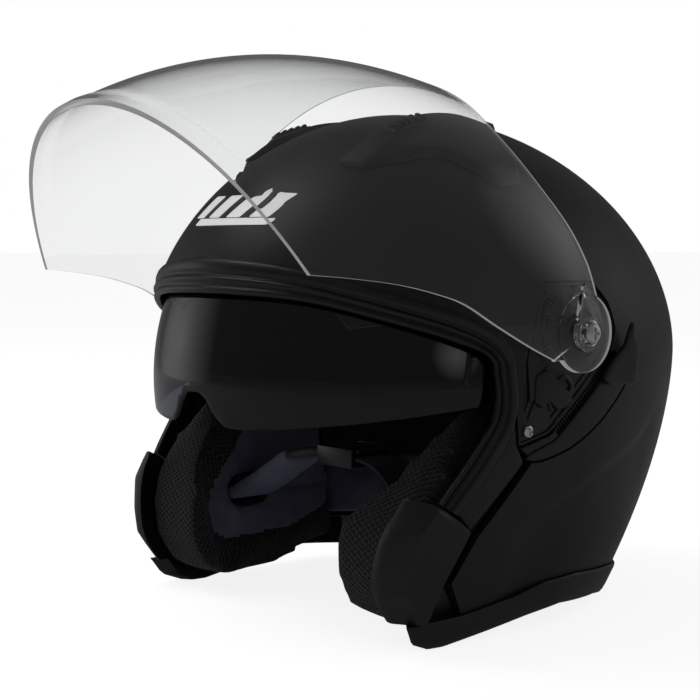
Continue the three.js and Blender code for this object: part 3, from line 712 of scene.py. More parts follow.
# ---------------------------------------------------------------- finishes
class Slot(Enum):
    """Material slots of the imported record."""

    SHELL = "shell_matte"
    TRIM = "trim_satin"
    GASKET = "gasket_rubber"
    FOAM = "foam"
    KNIT = "knit_fabric"
    LINING = "lining_fabric"
    CLEAR = "clear_visor"
    SMOKE = "smoke_visor"
    HINGE = "hinge_plastic"
    STEEL = "steel"
    WEBBING = "webbing"
    MARK = "mark_white"


Colour = tuple[float, float, float]


def shade(colour: Colour) -> tuple[float, float, float, float]:
    """A colour with full alpha."""
    return (*colour, 1.0)


def new_material(name: str, sockets: dict) -> tuple[bpy.types.Material, Graph, bpy.types.Node]:
    """A material with a Principled BSDF whose plain sockets are set."""
    material = bpy.data.materials.new(name)
    material.use_nodes = True
    graph = Graph(material.node_tree)
    body = material.node_tree.nodes["Principled BSDF"]
    for key, value in sockets.items():
        body.inputs[key].default_value = value
    return material, graph, body


@dataclass(frozen=True)
class Moulded:
    """Painted, moulded or rubber surface with grain, edges lightened where worn and by a painted highlight, and
    its own sheen.
    """

    name: str
    colour: Colour
    # Colour of the lightened edges, standing for both worn edges and a painted highlight.
    edge: Colour
    roughness: tuple[float, float]
    scale: float = 900.0
    bump: float = 0.08
    wear_and_highlight: float = 0.35
    shift: float = 0.4
    coat: float = 0.0
    specular: float = 0.5
    metallic: float = 0.0
    # Emission strength: a painted glow, the surface giving off light though it is no lamp.
    glow: float = 0.0

    def build(self, effects: Effects) -> bpy.types.Material:
        """The finish as a material."""
        material, graph, body = new_material(self.name, {
            "Specular IOR Level": self.specular, "Coat Weight": self.coat, "Coat Roughness": 0.25,
            "Metallic": self.metallic, "Emission Color": shade(self.colour), "Emission Strength": self.glow})
        where = graph.add("ShaderNodeTexCoord").outputs["Object"]
        grain = graph.add("ShaderNodeGroup", node_tree=effects.grain)
        # Edge lightening: partly worn edges, partly a painted highlight on rounded edges.
        wear_and_highlight = graph.add("ShaderNodeGroup", node_tree=effects.wear_and_highlight)
        for key, value in (("Scale", self.scale), ("Colour", shade(self.colour)), ("Shift", self.shift),
                           ("Low", self.roughness[0]), ("High", self.roughness[1])):
            grain.inputs[key].default_value = value
        wear_and_highlight.inputs["Edge"].default_value = shade(self.edge)
        wear_and_highlight.inputs["Amount"].default_value = self.wear_and_highlight
        join = material.node_tree.links.new
        join(where, grain.inputs["Vector"])
        join(where, wear_and_highlight.inputs["Vector"])
        join(grain.outputs["Colour"], wear_and_highlight.inputs["Colour"])
        join(wear_and_highlight.outputs["Colour"], body.inputs["Base Color"])
        join(grain.outputs["Roughness"], body.inputs["Roughness"])
        relief = graph.add("ShaderNodeBump", {"Strength": self.bump, "Distance": 0.0004,
                                              "Height": grain.outputs["Height"]})
        join(relief.outputs["Normal"], body.inputs["Normal"])
        return material


@dataclass(frozen=True)
class Knit:
    """Open spacer knit laid out along the piece's own UV map, which is in millimetres."""

    name: str
    colour: Colour
    # Colour of the holes: painted shade inside each hole.
    hole_shade: Colour
    across: float = 3.0
    along: float = 4.3
    hole: float = 0.78

    def build(self, effects: Effects) -> bpy.types.Material:
        """The finish as a material."""
        material, graph, body = new_material(self.name, {
            "Roughness": 0.85, "Sheen Weight": 0.35, "Sheen Roughness": 0.45,
            "Sheen Tint": (0.6, 0.62, 0.66, 1.0), "Specular IOR Level": 0.35})
        where = graph.add("ShaderNodeTexCoord").outputs["UV"]
        knit = graph.add("ShaderNodeGroup", node_tree=effects.spacer)
        for key, value in (("Across", self.across), ("Along", self.along), ("Hole", self.hole)):
            knit.inputs[key].default_value = value
        join = material.node_tree.links.new
        join(where, knit.inputs["Vector"])
        yarn = graph.noise(where, 2.2, 3.0)
        base = graph.blend(graph.ramp(yarn, 0.3, 0.7), shade(self.colour),
                           shade(tuple(1.9 * part for part in self.colour)))
        # Holes painted near black: painted shade inside the knit's holes.
        join(graph.blend(knit.outputs["Hole"], base, shade(self.hole_shade)), body.inputs["Base Color"])
        relief = graph.add("ShaderNodeBump", {"Strength": 1.0, "Distance": 0.0011,
                                              "Height": knit.outputs["Height"]})
        join(relief.outputs["Normal"], body.inputs["Normal"])
        return material


@dataclass(frozen=True)
class Brushed:
    """Brushed lining fabric."""

    name: str
    colour: Colour
    fibre: Colour
    amount: float = 0.5

    def build(self, effects: Effects) -> bpy.types.Material:
        """The finish as a material."""
        material, graph, body = new_material(self.name, {
            "Roughness": 0.95, "Sheen Weight": 0.5, "Sheen Roughness": 0.4,
            "Sheen Tint": (0.45, 0.5, 0.75, 1.0), "Specular IOR Level": 0.2})
        where = graph.add("ShaderNodeTexCoord").outputs["Object"]
        lint = graph.add("ShaderNodeGroup", node_tree=effects.lint)
        lint.inputs["Colour"].default_value = shade(self.colour)
        lint.inputs["Fibre"].default_value = shade(self.fibre)
        lint.inputs["Amount"].default_value = self.amount
        join = material.node_tree.links.new
        join(where, lint.inputs["Vector"])
        join(lint.outputs["Colour"], body.inputs["Base Color"])
        relief = graph.add("ShaderNodeBump", {"Strength": 0.5, "Distance": 0.0006,
                                              "Height": lint.outputs["Height"]})
        join(relief.outputs["Normal"], body.inputs["Normal"])
        return material


@dataclass(frozen=True)
class Woven:
    """Webbing laid out along the piece's own UV map, which is in millimetres."""

    name: str
    colour: Colour
    pitch: float = 1.6

    def build(self, effects: Effects) -> bpy.types.Material:
        """The finish as a material."""
        material, graph, body = new_material(self.name, {
            "Roughness": 0.8, "Sheen Weight": 0.3, "Sheen Roughness": 0.4, "Specular IOR Level": 0.35})
        where = graph.add("ShaderNodeTexCoord").outputs["UV"]
        weave = graph.add("ShaderNodeGroup", node_tree=effects.weave)
        weave.inputs["Pitch"].default_value = self.pitch
        join = material.node_tree.links.new
        join(where, weave.inputs["Vector"])
        # Threads that pass under are painted darker: painted shade.
        join(graph.blend(weave.outputs["Shade"], shade(tuple(0.4 * part for part in self.colour)),
                         shade(self.colour)), body.inputs["Base Color"])
        relief = graph.add("ShaderNodeBump", {"Strength": 0.8, "Distance": 0.0005,
                                              "Height": weave.outputs["Height"]})
        join(relief.outputs["Normal"], body.inputs["Normal"])
        return material


@dataclass(frozen=True)
class Polycarbonate:
    """Polished clear or tinted sheet."""

    name: str
    tint: Colour
    roughness: float = 0.0
    coat: float = 0.0
    # Emission strength: a painted glow, the sheet giving off light though it is no lamp.
    glow: float = 0.0

    def build(self, effects: Effects) -> bpy.types.Material:
        """The finish as a material."""
        material, graph, body = new_material(self.name, {
            "Transmission Weight": 1.0, "IOR": 1.5, "Roughness": self.roughness, "Coat Weight": self.coat,
            "Coat Roughness": 0.02, "Emission Color": shade(self.tint), "Emission Strength": self.glow})
        where = graph.add("ShaderNodeTexCoord").outputs["Object"]
        haze = graph.ramp(graph.noise(where, 9.0, 2.0), 0.3, 0.7, 0.97, 1.0)
        toned = graph.vector("SCALE", shade(self.tint)[:3])
        material.node_tree.links.new(haze, toned.node.inputs["Scale"])
        material.node_tree.links.new(toned, body.inputs["Base Color"])
        return material


FINISHES = {
    Slot.SHELL: Moulded("matte_paint", (0.0085, 0.0083, 0.008), (0.03, 0.03, 0.03),
                        (0.4, 0.5), 1600, 0.05, 0.15),
    Slot.TRIM: Moulded("satin_trim", (0.011, 0.011, 0.012), (0.05, 0.05, 0.053),
                       (0.36, 0.5), 2200, 0.25, 0.3),
    Slot.GASKET: Moulded("edging_rubber", (0.009, 0.009, 0.01), (0.04, 0.04, 0.043),
                         (0.3, 0.42), 1500, 0.1, 0.2),
    Slot.FOAM: Moulded("bead_foam", (0.016, 0.016, 0.017), (0.03, 0.03, 0.03), (0.85, 0.95), 420, 1.0, 0.0),
    Slot.HINGE: Moulded("hinge_nylon", (0.012, 0.012, 0.0125), (0.05, 0.05, 0.05),
                        (0.25, 0.4), 1200, 0.12, 0.35),
    Slot.STEEL: Moulded("plated_steel", (0.62, 0.61, 0.6), (0.8, 0.8, 0.8), (0.18, 0.34), 900, 0.06, 0.4,
                        metallic=1.0),
    # The white print also glows by emission: painted light on top of its own colour.
    Slot.MARK: Moulded("printed_white_painted_glow", (0.86, 0.86, 0.86), (0.9, 0.9, 0.9), (0.35, 0.45), 1200,
                       0.05, 0.0, 0.1, glow=0.55),
    Slot.KNIT: Knit("spacer_knit_black", (0.015, 0.015, 0.0155), (0.0008, 0.0008, 0.0008)),
    Slot.LINING: Brushed("brushed_navy", (0.13, 0.135, 0.2), (0.33, 0.34, 0.42)),
    Slot.WEBBING: Woven("strap_webbing", (0.03, 0.032, 0.036)),
    Slot.CLEAR: Polycarbonate("clear_sheet", (0.985, 0.99, 0.992)),
    Slot.SMOKE: Polycarbonate("smoked_sheet", (0.035, 0.04, 0.055)),
}
# Cut faces of the clear visor: frosted, and glowing by emission as painted light caught in the edge.
PAINTED_GLOW_EDGE = Polycarbonate("frosted_edge_painted_glow", (0.93, 0.94, 0.95), 0.35, glow=0.22)


class Workshop:
    """Holds the effects and materials, and dresses each finished piece."""

    def __init__(self) -> None:
        """Builds the effects and every material once."""
        effects = Effects()
        self.materials = {slot: finish.build(effects) for slot, finish in FINISHES.items()}
        # Frosted edge material with a painted glow.
        self.edge = PAINTED_GLOW_EDGE.build(effects)

    def dress(self, piece: bpy.types.Object, slot: Slot, body: str, *nodes: str) -> bpy.types.Object:
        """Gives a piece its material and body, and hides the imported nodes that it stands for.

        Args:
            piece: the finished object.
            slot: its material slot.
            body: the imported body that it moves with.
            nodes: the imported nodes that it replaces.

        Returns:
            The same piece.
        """
        if not piece.data.materials:
            piece.data.materials.append(self.materials[slot])
        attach(piece, body)
        if nodes:
            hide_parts(*nodes)
        LOG.info("%s: %d faces, on %s", piece.name, len(piece.data.polygons), body)
        return piece

    def dress_kept(self, node: str) -> None:
        """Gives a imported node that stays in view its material."""
        for item in frame["record"]["subparts"]:
            if item["node"] == node:
                mesh = frame["nodes"][node].data
                mesh.materials.clear()
                mesh.materials.append(self.materials[Slot(item["material_slot"])])


# ---------------------------------------------------------------- repeated details
class RowTree:
    """Geometry Nodes tree that sets beads or bars in a row along a line."""

    def __init__(self) -> None:
        """Builds the tree with named inputs."""
        tree = bpy.data.node_groups.new("row_of_pieces", "GeometryNodeTree")
        new = tree.interface.new_socket
        new("Geometry", in_out="INPUT", socket_type="NodeSocketGeometry")
        for label, kind in (("Count", "Int"), ("Size", "Vector"), ("Square", "Bool"),
                            ("Material", "Material")):
            new(label, in_out="INPUT", socket_type=f"NodeSocket{kind}")
        new("Geometry", in_out="OUTPUT", socket_type="NodeSocketGeometry")
        graph = Graph(tree)
        given = graph.add("NodeGroupInput").outputs
        curve = graph.add("GeometryNodeMeshToCurve", {0: given["Geometry"]})
        even = graph.add("GeometryNodeResampleCurve", {"Curve": curve.outputs[0], "Count": given["Count"]})
        up = graph.add("GeometryNodeInputNamedAttribute", {"Name": "up"}, data_type="FLOAT_VECTOR")
        tangent = graph.add("GeometryNodeInputTangent")
        stand = graph.add("FunctionNodeAlignRotationToVector", {"Vector": up.outputs[0]}, axis="Z")
        turn = graph.add("FunctionNodeAlignRotationToVector",
                         {"Rotation": stand.outputs[0], "Vector": tangent.outputs[0]}, axis="X", pivot_axis="Z")
        bead = graph.add("GeometryNodeMeshUVSphere", {"Segments": 10, "Rings": 6, "Radius": 0.5})
        bar = graph.add("GeometryNodeMeshCube", {"Size": (1.0, 1.0, 1.0)})
        either = graph.add("GeometryNodeSwitch", {"Switch": given["Square"], "False": bead.outputs[0],
                                                  "True": bar.outputs[0]}, input_type="GEOMETRY")
        row = graph.add("GeometryNodeInstanceOnPoints", {
            "Points": even.outputs[0], "Instance": either.outputs[0], "Rotation": turn.outputs[0],
            "Scale": given["Size"]})
        real = graph.add("GeometryNodeRealizeInstances", {0: row.outputs[0]})
        painted = graph.add("GeometryNodeSetMaterial", {"Geometry": real.outputs[0],
                                                        "Material": given["Material"]})
        graph.add("NodeGroupOutput", {0: painted.outputs[0]})
        self.tree = tree

    def run(self, name: str, line: np.ndarray, up: np.ndarray, count: int, size: Sequence[float],
            material: bpy.types.Material, square: bool = False, width: float = 0.0) -> bpy.types.Object:
        """A row of pieces along a line.

        Args:
            name: the new object's name.
            line: points of the line, in millimetres.
            up: direction that each piece stands in, at each point.
            count: number of pieces.
            size: length along the line, width and height of a piece, in millimetres.
            material: the pieces' material.
            square: bars with rounded edges instead of beads.
            width: width of the rounding of a bar's edges.

        Returns:
            The row as a plain mesh object.
        """
        mesh = bpy.data.meshes.new(name)
        placed = (np.asarray(line, float) + (0, SHIFT_Y, 0)) * MM
        mesh.from_pydata(placed.tolist(), [(k, k + 1) for k in range(len(line) - 1)], [])
        stand = mesh.attributes.new("up", "FLOAT_VECTOR", "POINT")
        stand.data.foreach_set("vector", np.broadcast_to(up, placed.shape).astype(np.float32).ravel())
        thing = bpy.data.objects.new(name, mesh)
        bpy.context.scene.collection.objects.link(thing)
        step = thing.modifiers.new("row", "NODES")
        step.node_group = self.tree
        values = {"Count": count, "Size": tuple(part * MM for part in size), "Square": square,
                  "Material": material}
        for item in self.tree.interface.items_tree:
            if item.in_out == "INPUT" and item.name in values:
                step[item.identifier] = values[item.name]
        applied(thing)
        return soft_edge(thing, width, 30) if width else thing


def turned(name: str, profile: Points, centre: Sequence[float], side: int,
           segments: int = 48) -> bpy.types.Object:
    """Round piece along X from (radius, distance outward) pairs that start and end on the axis."""
    angle = np.linspace(0, 2 * math.pi, segments, endpoint=False)
    points = [(0.0, 0.0, 0.0)] * 2
    points = [(profile[0][1], 0.0, 0.0), (profile[-1][1], 0.0, 0.0)]
    faces = []
    rings = [pair for pair in profile if pair[0] > 0]
    for radius, out in rings:
        points += [(out, radius * math.cos(a), radius * math.sin(a)) for a in angle]
    for j in range(segments):
        k = (j + 1) % segments
        faces.append([0, 2 + j, 2 + k])
        last = 2 + (len(rings) - 1) * segments
        faces.append([1, last + k, last + j])
        for i in range(len(rings) - 1):
            here, there = 2 + i * segments, 2 + (i + 1) * segments
            faces.append([here + j, there + j, there + k, here + k])
    return make(name, np.array(points) * (side, 1, 1) + centre, faces)


def merged(name: str, things: Sequence[bpy.types.Object]) -> bpy.types.Object:
    """Several objects as one mesh."""
    work = bmesh.new()
    for thing in things:
        work.from_mesh(thing.data)
        bpy.data.objects.remove(thing)
    mesh = bpy.data.meshes.new(name)
    work.to_mesh(mesh)
    work.free()
    mesh.polygons.foreach_set("material_index", np.zeros(len(mesh.polygons), np.int32))
    whole = bpy.data.objects.new(name, mesh)
    bpy.context.scene.collection.objects.link(whole)
    return whole


# ---------------------------------------------------------------- hard parts of the helmet
@dataclass
class OuterShell:
    """The painted shell with its side recesses."""

    shop: Workshop
    wall: float = 3.5
    floor: float = -3.2
    backing: float = -5.4
    clearance: float = 0.3
    crease_depth: float = 1.3

    def relief(self, points: np.ndarray) -> np.ndarray:
        """Growth of the skin: a pressed crease that runs from the side cover down to the jaw."""
        y, z = points[..., 1], points[..., 2]
        line = CREASE
        near = distance_to(line, y, z)
        level = np.interp(y, line[::-1, 0], line[::-1, 1])
        below = np.where(z < level, near, -near)
        fade = eased(y, -46, -22) * (1 - eased(y, 48, 74))
        return -self.crease_depth * eased(below, -1.5, 5.0) * (1 - eased(below, 14, 46)) * fade

    def port(self) -> np.ndarray:
        """Side view outline of the face and neck openings together."""
        upper = GASKET_OUTER[GASKET_OUTER[:, 1] > 104]
        slot = [(y, z + self.clearance) for y, z in SLOT_REAR]
        below = [(y, z + self.clearance) for y, z in TRIM_TOP[3:]]
        return np.array([(-260, 176), *upper, *reached([(-41.3, 90)]), *slot, *below, (200, 14), (200, -30),
                         (-260, -30)])

    def build(self) -> bpy.types.Object:
        """The shell."""
        shell = dome("shell", 0, -6, 300, 150, self.relief)
        combined(shell, [dome("hollow", -self.wall, -10, 160, 70)], "DIFFERENCE")
        outlines = [rounded(outline, 3.0) for outline in (PLATE, LEAF, LEVER_SLOT)]
        rim = [(-1.7, 1.2), (-1.15, 0.3), (-0.8, -0.1), (-0.58, -0.55), (-0.5, -1.1), (-0.5, self.floor)]
        for side in SIDES.values():
            for outline in outlines:
                pad = draped("pad", on_side(side), outline, [(-3, -1), (-3, self.backing)], 4)
                combined(shell, [pad], "UNION")
        for side in SIDES.values():
            for outline in outlines:
                cutter = draped("cutter", on_side(side), outline, rim, 4)
                combined(shell, [cutter], "DIFFERENCE")
        combined(shell, [prism("port", self.port(), -170, 170)], "DIFFERENCE")
        shell.name = "painted_shell"
        return self.shop.dress(smoothed(shell, 32), Slot.SHELL, "helmet", "outer_shell")


@dataclass
class Edgings:
    """Ridged rubber round the face opening, hard trim round the neck, jaw covers and port strips."""

    shop: Workshop
    ribs: tuple = ((0.0, 0.3), (0.0, 0.9), (0.05, 1.6), (0.13, 2.0), (0.24, 2.05), (0.34, 1.75), (0.40, 1.1),
                   (0.44, 0.35), (0.49, 0.2), (0.54, 0.7), (0.59, 1.35), (0.65, 1.45), (0.70, 0.95), (0.73, 0.1),
                   (0.77, -0.45), (0.83, -0.35), (0.89, 0.05), (0.95, -0.1), (1.0, -0.8), (1.02, -1.9),
                   (1.0, -3.0), (0.94, -3.5), (0.5, -3.5), (0.06, -3.5), (0.0, -2.8))

    @staticmethod
    def rim(outline: np.ndarray, count: int) -> np.ndarray:
        """Left half of a side view line laid on the skin, from the centre plane to its foot."""
        fine = spaced(outline, 4000)
        scale, _, ahead, _ = SKIN.spans(fine[:, 1], np.zeros(len(fine)))
        reached = fine[:, 0] - SKIN.centre_y > -ahead * scale
        first = int(np.argmax(reached))
        start = fine[max(first - 1, 0)]
        sharp = np.linspace(0, 1, 400)[:, None] ** 2
        ahead_part = start + (fine[first + 200] - start) * sharp
        line = np.vstack([ahead_part, fine[first + 201:]])
        points = SKIN.side(line[:, 0], line[:, 1], np.zeros(len(line)))
        points[0, 0] = 0
        return spaced(points, count)

    def gasket(self) -> bpy.types.Object:
        """The rubber edging as one swept strip."""
        count = 220
        outer, inner = self.rim(GASKET_OUTER, count), self.rim(GASKET_INNER, count)
        middle = (outer + inner) / 2
        turn = np.arctan2(middle[:, 0], SKIN.centre_y - middle[:, 1])
        up = SKIN.normal(turn, middle[:, 2])
        half = np.array([outer * (1 - share) + inner * share + up * rise for share, rise in self.ribs])
        half = half.transpose(1, 0, 2)
        rings = np.vstack([(half * (-1, 1, 1))[:0:-1], half])
        strip = make("face_edging", *tube(rings))
        return self.shop.dress(smoothed(strip, 50), Slot.GASKET, "helmet", "face_gasket")

    def neck(self) -> bpy.types.Object:
        """The hard trim round the neck opening."""
        front = float(SKIN.turn_of(np.array(-91.0), np.array(13.3)))
        turn = front + (math.pi - front) * np.linspace(0, 1, 150) ** 1.15
        edges = []
        for line in (np.array(TRIM_BOTTOM, float), np.array(TRIM_TOP, float)):
            level = np.full_like(turn, 8.0)
            for _ in range(12):
                y = SKIN.round(turn, level, np.zeros_like(turn))[:, 1]
                level = np.interp(y, line[:, 0], line[:, 1])
            edges.append(level)
        bottom, top = edges
        section = [(0.0, -4.4), (0.0, 0.6), (0.03, 1.5), (0.12, 2.0), (0.3, 2.2), (0.86, 2.2), (0.95, 1.9),
                   (1.0, 1.2), (1.0, -4.6), (0.9, -5.4), (0.14, -5.6), (0.04, -5.2)]
        rings = np.array([SKIN.round(turn, bottom + (top - bottom) * share, np.full_like(turn, grow))
                          for share, grow in section]).transpose(1, 0, 2)
        mirror = (rings * (-1, 1, 1))[-2::-1]
        trim = make("neck_edging", *tube(np.vstack([rings, mirror])))
        return self.shop.dress(smoothed(trim, 40), Slot.TRIM, "helmet", "neck_trim")

    @staticmethod
    def facets(y: np.ndarray, z: np.ndarray) -> np.ndarray:
        """Growth of a jaw cover's face: side, front and top facets that meet along ridges."""
        ahead = np.interp(z, JAW_RIDGE[::-1, 1], JAW_RIDGE[::-1, 0]) - y
        side_face = 3.9 - 0.07 * np.maximum(-ahead, 0)
        front_face = 3.9 - 1.0 * np.maximum(ahead, 0)
        (y0, z0), (y1, z1) = JAW_BROW
        above = ((y1 - y0) * (z - z0) - (z1 - z0) * (y - y0)) / math.hypot(y1 - y0, z1 - z0)
        return np.minimum(np.minimum(side_face, front_face), 3.9 - 0.8 * np.maximum(above, 0))

    def jaw(self, word: str, side: int) -> None:
        """One jaw cover, with the strip and the dark channel behind it."""
        foot = reached([(-69, 13.0), (-65.5, 32), (-58.5, 53.5), (-66.5, 61), (-74, 66.3)])
        outline = rounded([*JAW_FRONT, *foot], 1.6, 1.0)
        cover = draped(f"jaw_guard_{word}", on_side(side), outline,
                       [(0.9, -0.1, 1), (0.35, -0.35, 1), (0.05, -0.9, 1), (0, -1.8, 1), (0.2, -7, 0)], 1.6,
                       self.facets, [JAW_RIDGE[1:-1], np.array(JAW_BROW)])
        self.shop.dress(smoothed(cover, 24), Slot.TRIM, "helmet", f"jaw_cover_{word}")
        foot = GASKET_OUTER[(GASKET_OUTER[:, 1] < 104) & (GASKET_OUTER[:, 1] > 62.5)]
        strip = [*[(y + 0.5, z) for y, z in foot],
                 *reached([(-65, 62.3), (-57.7, 54.2), (-37.5, 82), (-41.9, 90)])]
        plate = draped(f"port_strip_face_{word}", on_side(side), rounded(strip, 1.0, 1.0),
                       [(0.6, -0.4), (0.15, -0.6), (0, -1.1), (0, -7)], 2.5)
        channel = reached([(-42.5, 89), (-37.5, 82.5), (-34, 81), (-54.8, 50), (-61.8, 30), (-50, 11.5),
                           (-69, 11.5), (-64.6, 32), (-57.4, 54), (-61, 61)])
        gutter = draped(f"port_channel_{word}", on_side(side), rounded(channel, 1.0, 1.0),
                        [(0, -4.4), (0, -7)], 2.5)
        whole = merged(f"port_strip_{word}_moulding", [plate, gutter])
        self.shop.dress(smoothed(whole, 40), Slot.TRIM, "helmet", f"port_strip_{word}")

    def build(self) -> None:
        """All the edgings."""
        self.gasket()
        self.neck()
        for word, side in SIDES.items():
            self.jaw(word, side)


@dataclass
class ClearVisor:
    """The raised clear visor with its pivot caps."""

    shop: Workshop
    shape: Blister = BLISTER
    chin_band: float = 11.0
    chin_rise: float = 1.4

    def outline(self) -> np.ndarray:
        """Side view outline of the sheet."""
        lower = spline([(-149.8, 165.6), (-133.6, 164.3), (-111, 161.4), (-92.3, 157.1), (-79, 152.6),
                        (-62, 143), (-43, 133.4), (-27, 126.5)], 60)
        turn = np.radians(np.linspace(-140, 60, 40))
        ear = np.column_stack([self.shape.y + self.shape.ear_radius * np.cos(turn),
                               self.shape.z + self.shape.ear_radius * np.sin(turn)])
        upper = spline([(-3, 168.4), (-7, 179.7), (-11.5, 189.5), (-19, 203), (-25, 218), (-28, 232),
                        (-25, 246), (-21, 262), (-20, 275)], 60)
        chin = [(-200, 275), (-204, 264), (-190.8, 239.6), (-170.5, 203)]
        return np.vstack([lower, ear, upper, chin])

    def blister(self, name: str, grow: float, banded: bool) -> bpy.types.Object:
        """Closed blister round the hinge axis; the chin band stands proud of it if asked."""
        shape = self.shape
        fine = np.arange(-30, 115, 0.55)
        angle = np.radians(np.concatenate([fine, np.arange(116, 329, 5.0)]))
        turn = np.linspace(-math.pi / 2, math.pi / 2, 132)[1:-1, None]
        reach = (shape.radius(angle) + grow)[None, :] * np.cos(turn) ** (2 / shape.power)
        x = (shape.half_width + grow) * np.sign(turn) * np.abs(np.sin(turn)) ** (2 / shape.power)
        y, z = -reach * np.cos(angle), reach * np.sin(angle)
        if banded:
            edge, along = np.array([-149.8, 165.6]), np.array([-41.2, 74.0])
            away = np.array([along[1], -along[0]]) / np.linalg.norm(along)
            depth = (shape.y + y - edge[0]) * away[0] + (shape.z + z - edge[1]) * away[1]
            swell = self.chin_rise * (1 - eased(depth, self.chin_band - 3.0, self.chin_band))
            swell *= 1 - eased(np.abs(x) + 0 * y, 78, 106)
            y, z = y * (1 + swell / np.maximum(reach, 30)), z * (1 + swell / np.maximum(reach, 30))
        rings = np.stack([x + 0 * y, shape.y + y, shape.z + z], -1)
        points, faces = tube(rings)
        faces = faces[:-2]
        around, ends = len(angle), len(points)
        for j in range(around):
            k = (j + 1) % around
            faces += [[ends, k, j], [ends + 1, ends - around + j, ends - around + k]]
        poles = [(-(shape.half_width + grow), shape.y, shape.z), (shape.half_width + grow, shape.y, shape.z)]
        return make(name, np.vstack([points, poles]), faces)

    def sheet(self) -> bpy.types.Object:
        """The clear sheet."""
        shape = self.shape
        sheet = self.blister("clear_visor_sheet", 0, True)
        combined(sheet, [self.blister("hollow", -shape.wall, False)], "DIFFERENCE")
        combined(sheet, [prism("sides", self.outline(), -170, 170)], "INTERSECT")
        for side in SIDES.values():
            radius, wall = shape.ear_radius, shape.wall
            ear = turned("ear", [(0, 0), (radius - 0.4, 0), (radius, 0.4), (radius, wall - 0.4),
                                 (radius - 0.4, wall), (0, wall)], (side * shape.ear_inner, shape.y, shape.z),
                         side, 72)
            combined(sheet, [ear], "UNION")
            bore = turned("bore", [(0, -4), (4.2, -4), (4.2, 8), (0, 8)],
                          (side * shape.ear_inner, shape.y, shape.z), side, 40)
            combined(sheet, [bore], "DIFFERENCE")
        points = in_mm(sheet)
        cut = nearest(self.outline(), points[:, 1], points[:, 2])[0] < 0.04
        sheet.data.materials.append(self.shop.materials[Slot.CLEAR])
        # Cut faces get the frosted edge material, which also glows: painted light along the edge.
        sheet.data.materials.append(self.shop.edge)
        for face in sheet.data.polygons:
            face.material_index = int(cut[list(face.vertices)].all())
        return self.shop.dress(smoothed(sheet, 35), Slot.CLEAR, "visor", "visor")

    def cap(self, word: str, side: int) -> None:
        """The clear teardrop boss over one pivot."""
        shape = self.shape
        face = shape.ear_inner + shape.wall + 0.3
        turn = np.radians(np.linspace(-205, 25, 36))
        around = [(shape.y + 8.5 * math.cos(a), shape.z + 8.5 * math.sin(a)) for a in turn]
        tip = [(shape.y + 0.1, shape.z + 20), (shape.y - 1.2, shape.z + 22.3), (shape.y - 3.6, shape.z + 22.4),
               (shape.y - 5, shape.z + 20)]
        drop = rounded([*around, *tip], 1.2, 0.7)
        plate = draped(f"cap_{word}", flat_on(side, face), drop,
                       [(0.7, 2.1), (0.25, 1.95), (0.05, 1.6), (0, 1.1), (0, 0)], 1.5)
        middle = (side * face, shape.y, shape.z)
        bore = turned("bore", [(0, -4), (5.4, -4), (5.4, 8), (0, 8)], middle, side, 40)
        combined(plate, [bore], "DIFFERENCE")
        lip = [(0, 1.6), (6.9, 1.6), (7.3, 2.3), (6.9, 2.5), (6.1, 2.5), (5.6, 2.2), (5.5, 0.5), (0, 0.5)]
        ring = turned("ring", lip, middle, side, 56)
        bore = turned("bore", [(0, -4), (5.2, -4), (5.2, 8), (0, 8)], middle, side, 40)
        combined(ring, [bore], "DIFFERENCE")
        boss = turned("boss", [(0, 1.5), (2.2, 1.5), (2.4, 2.3), (1.9, 2.5), (0, 2.2)],
                      (side * face, shape.y - 2.4, shape.z + 18), side, 28)
        combined(plate, [ring, boss], "UNION")
        self.shop.dress(smoothed(plate, 30), Slot.CLEAR, "visor", f"visor_cap_{word}")

    def build(self) -> None:
        """The sheet and both caps."""
        self.sheet()
        for word, side in SIDES.items():
            self.cap(word, side)


def banded(name: str, lift: Lift, outline: np.ndarray, section: Points) -> bpy.types.Object:
    """Closed bead that runs round an outline, from (inset, growth) pairs of its section."""
    loops = [lift(*inset(outline, row[0]).T, np.full(len(outline), float(row[1]))) for row in section]
    count, around = len(loops), len(outline)
    faces = []
    for i in range(count):
        here, there = i * around, (i + 1) % count * around
        for j in range(around):
            k = (j + 1) % around
            faces.append([here + j, here + k, there + k, there + j])
    return make(name, np.vstack(loops), faces)


def arc(centre: Sequence[float], inner: float, outer: float, start: float, end: float) -> np.ndarray:
    """Outline of a part of a ring, between two angles in degrees."""
    turn = np.radians(np.linspace(start, end, 24))
    ring = np.stack([np.cos(turn), np.sin(turn)], -1)
    return np.vstack([centre + outer * ring, (centre + inner * ring)[::-1]])


def bar(start: Sequence[float], end: Sequence[float], width: float) -> np.ndarray:
    """Outline of a straight rib between two points."""
    a, b = np.array(start, float), np.array(end, float)
    across = np.array([a[1] - b[1], b[0] - a[0]]) / np.linalg.norm(b - a) * width / 2
    return rounded([a + across, b + across, b - across, a - across], width * 0.35, 0.7)


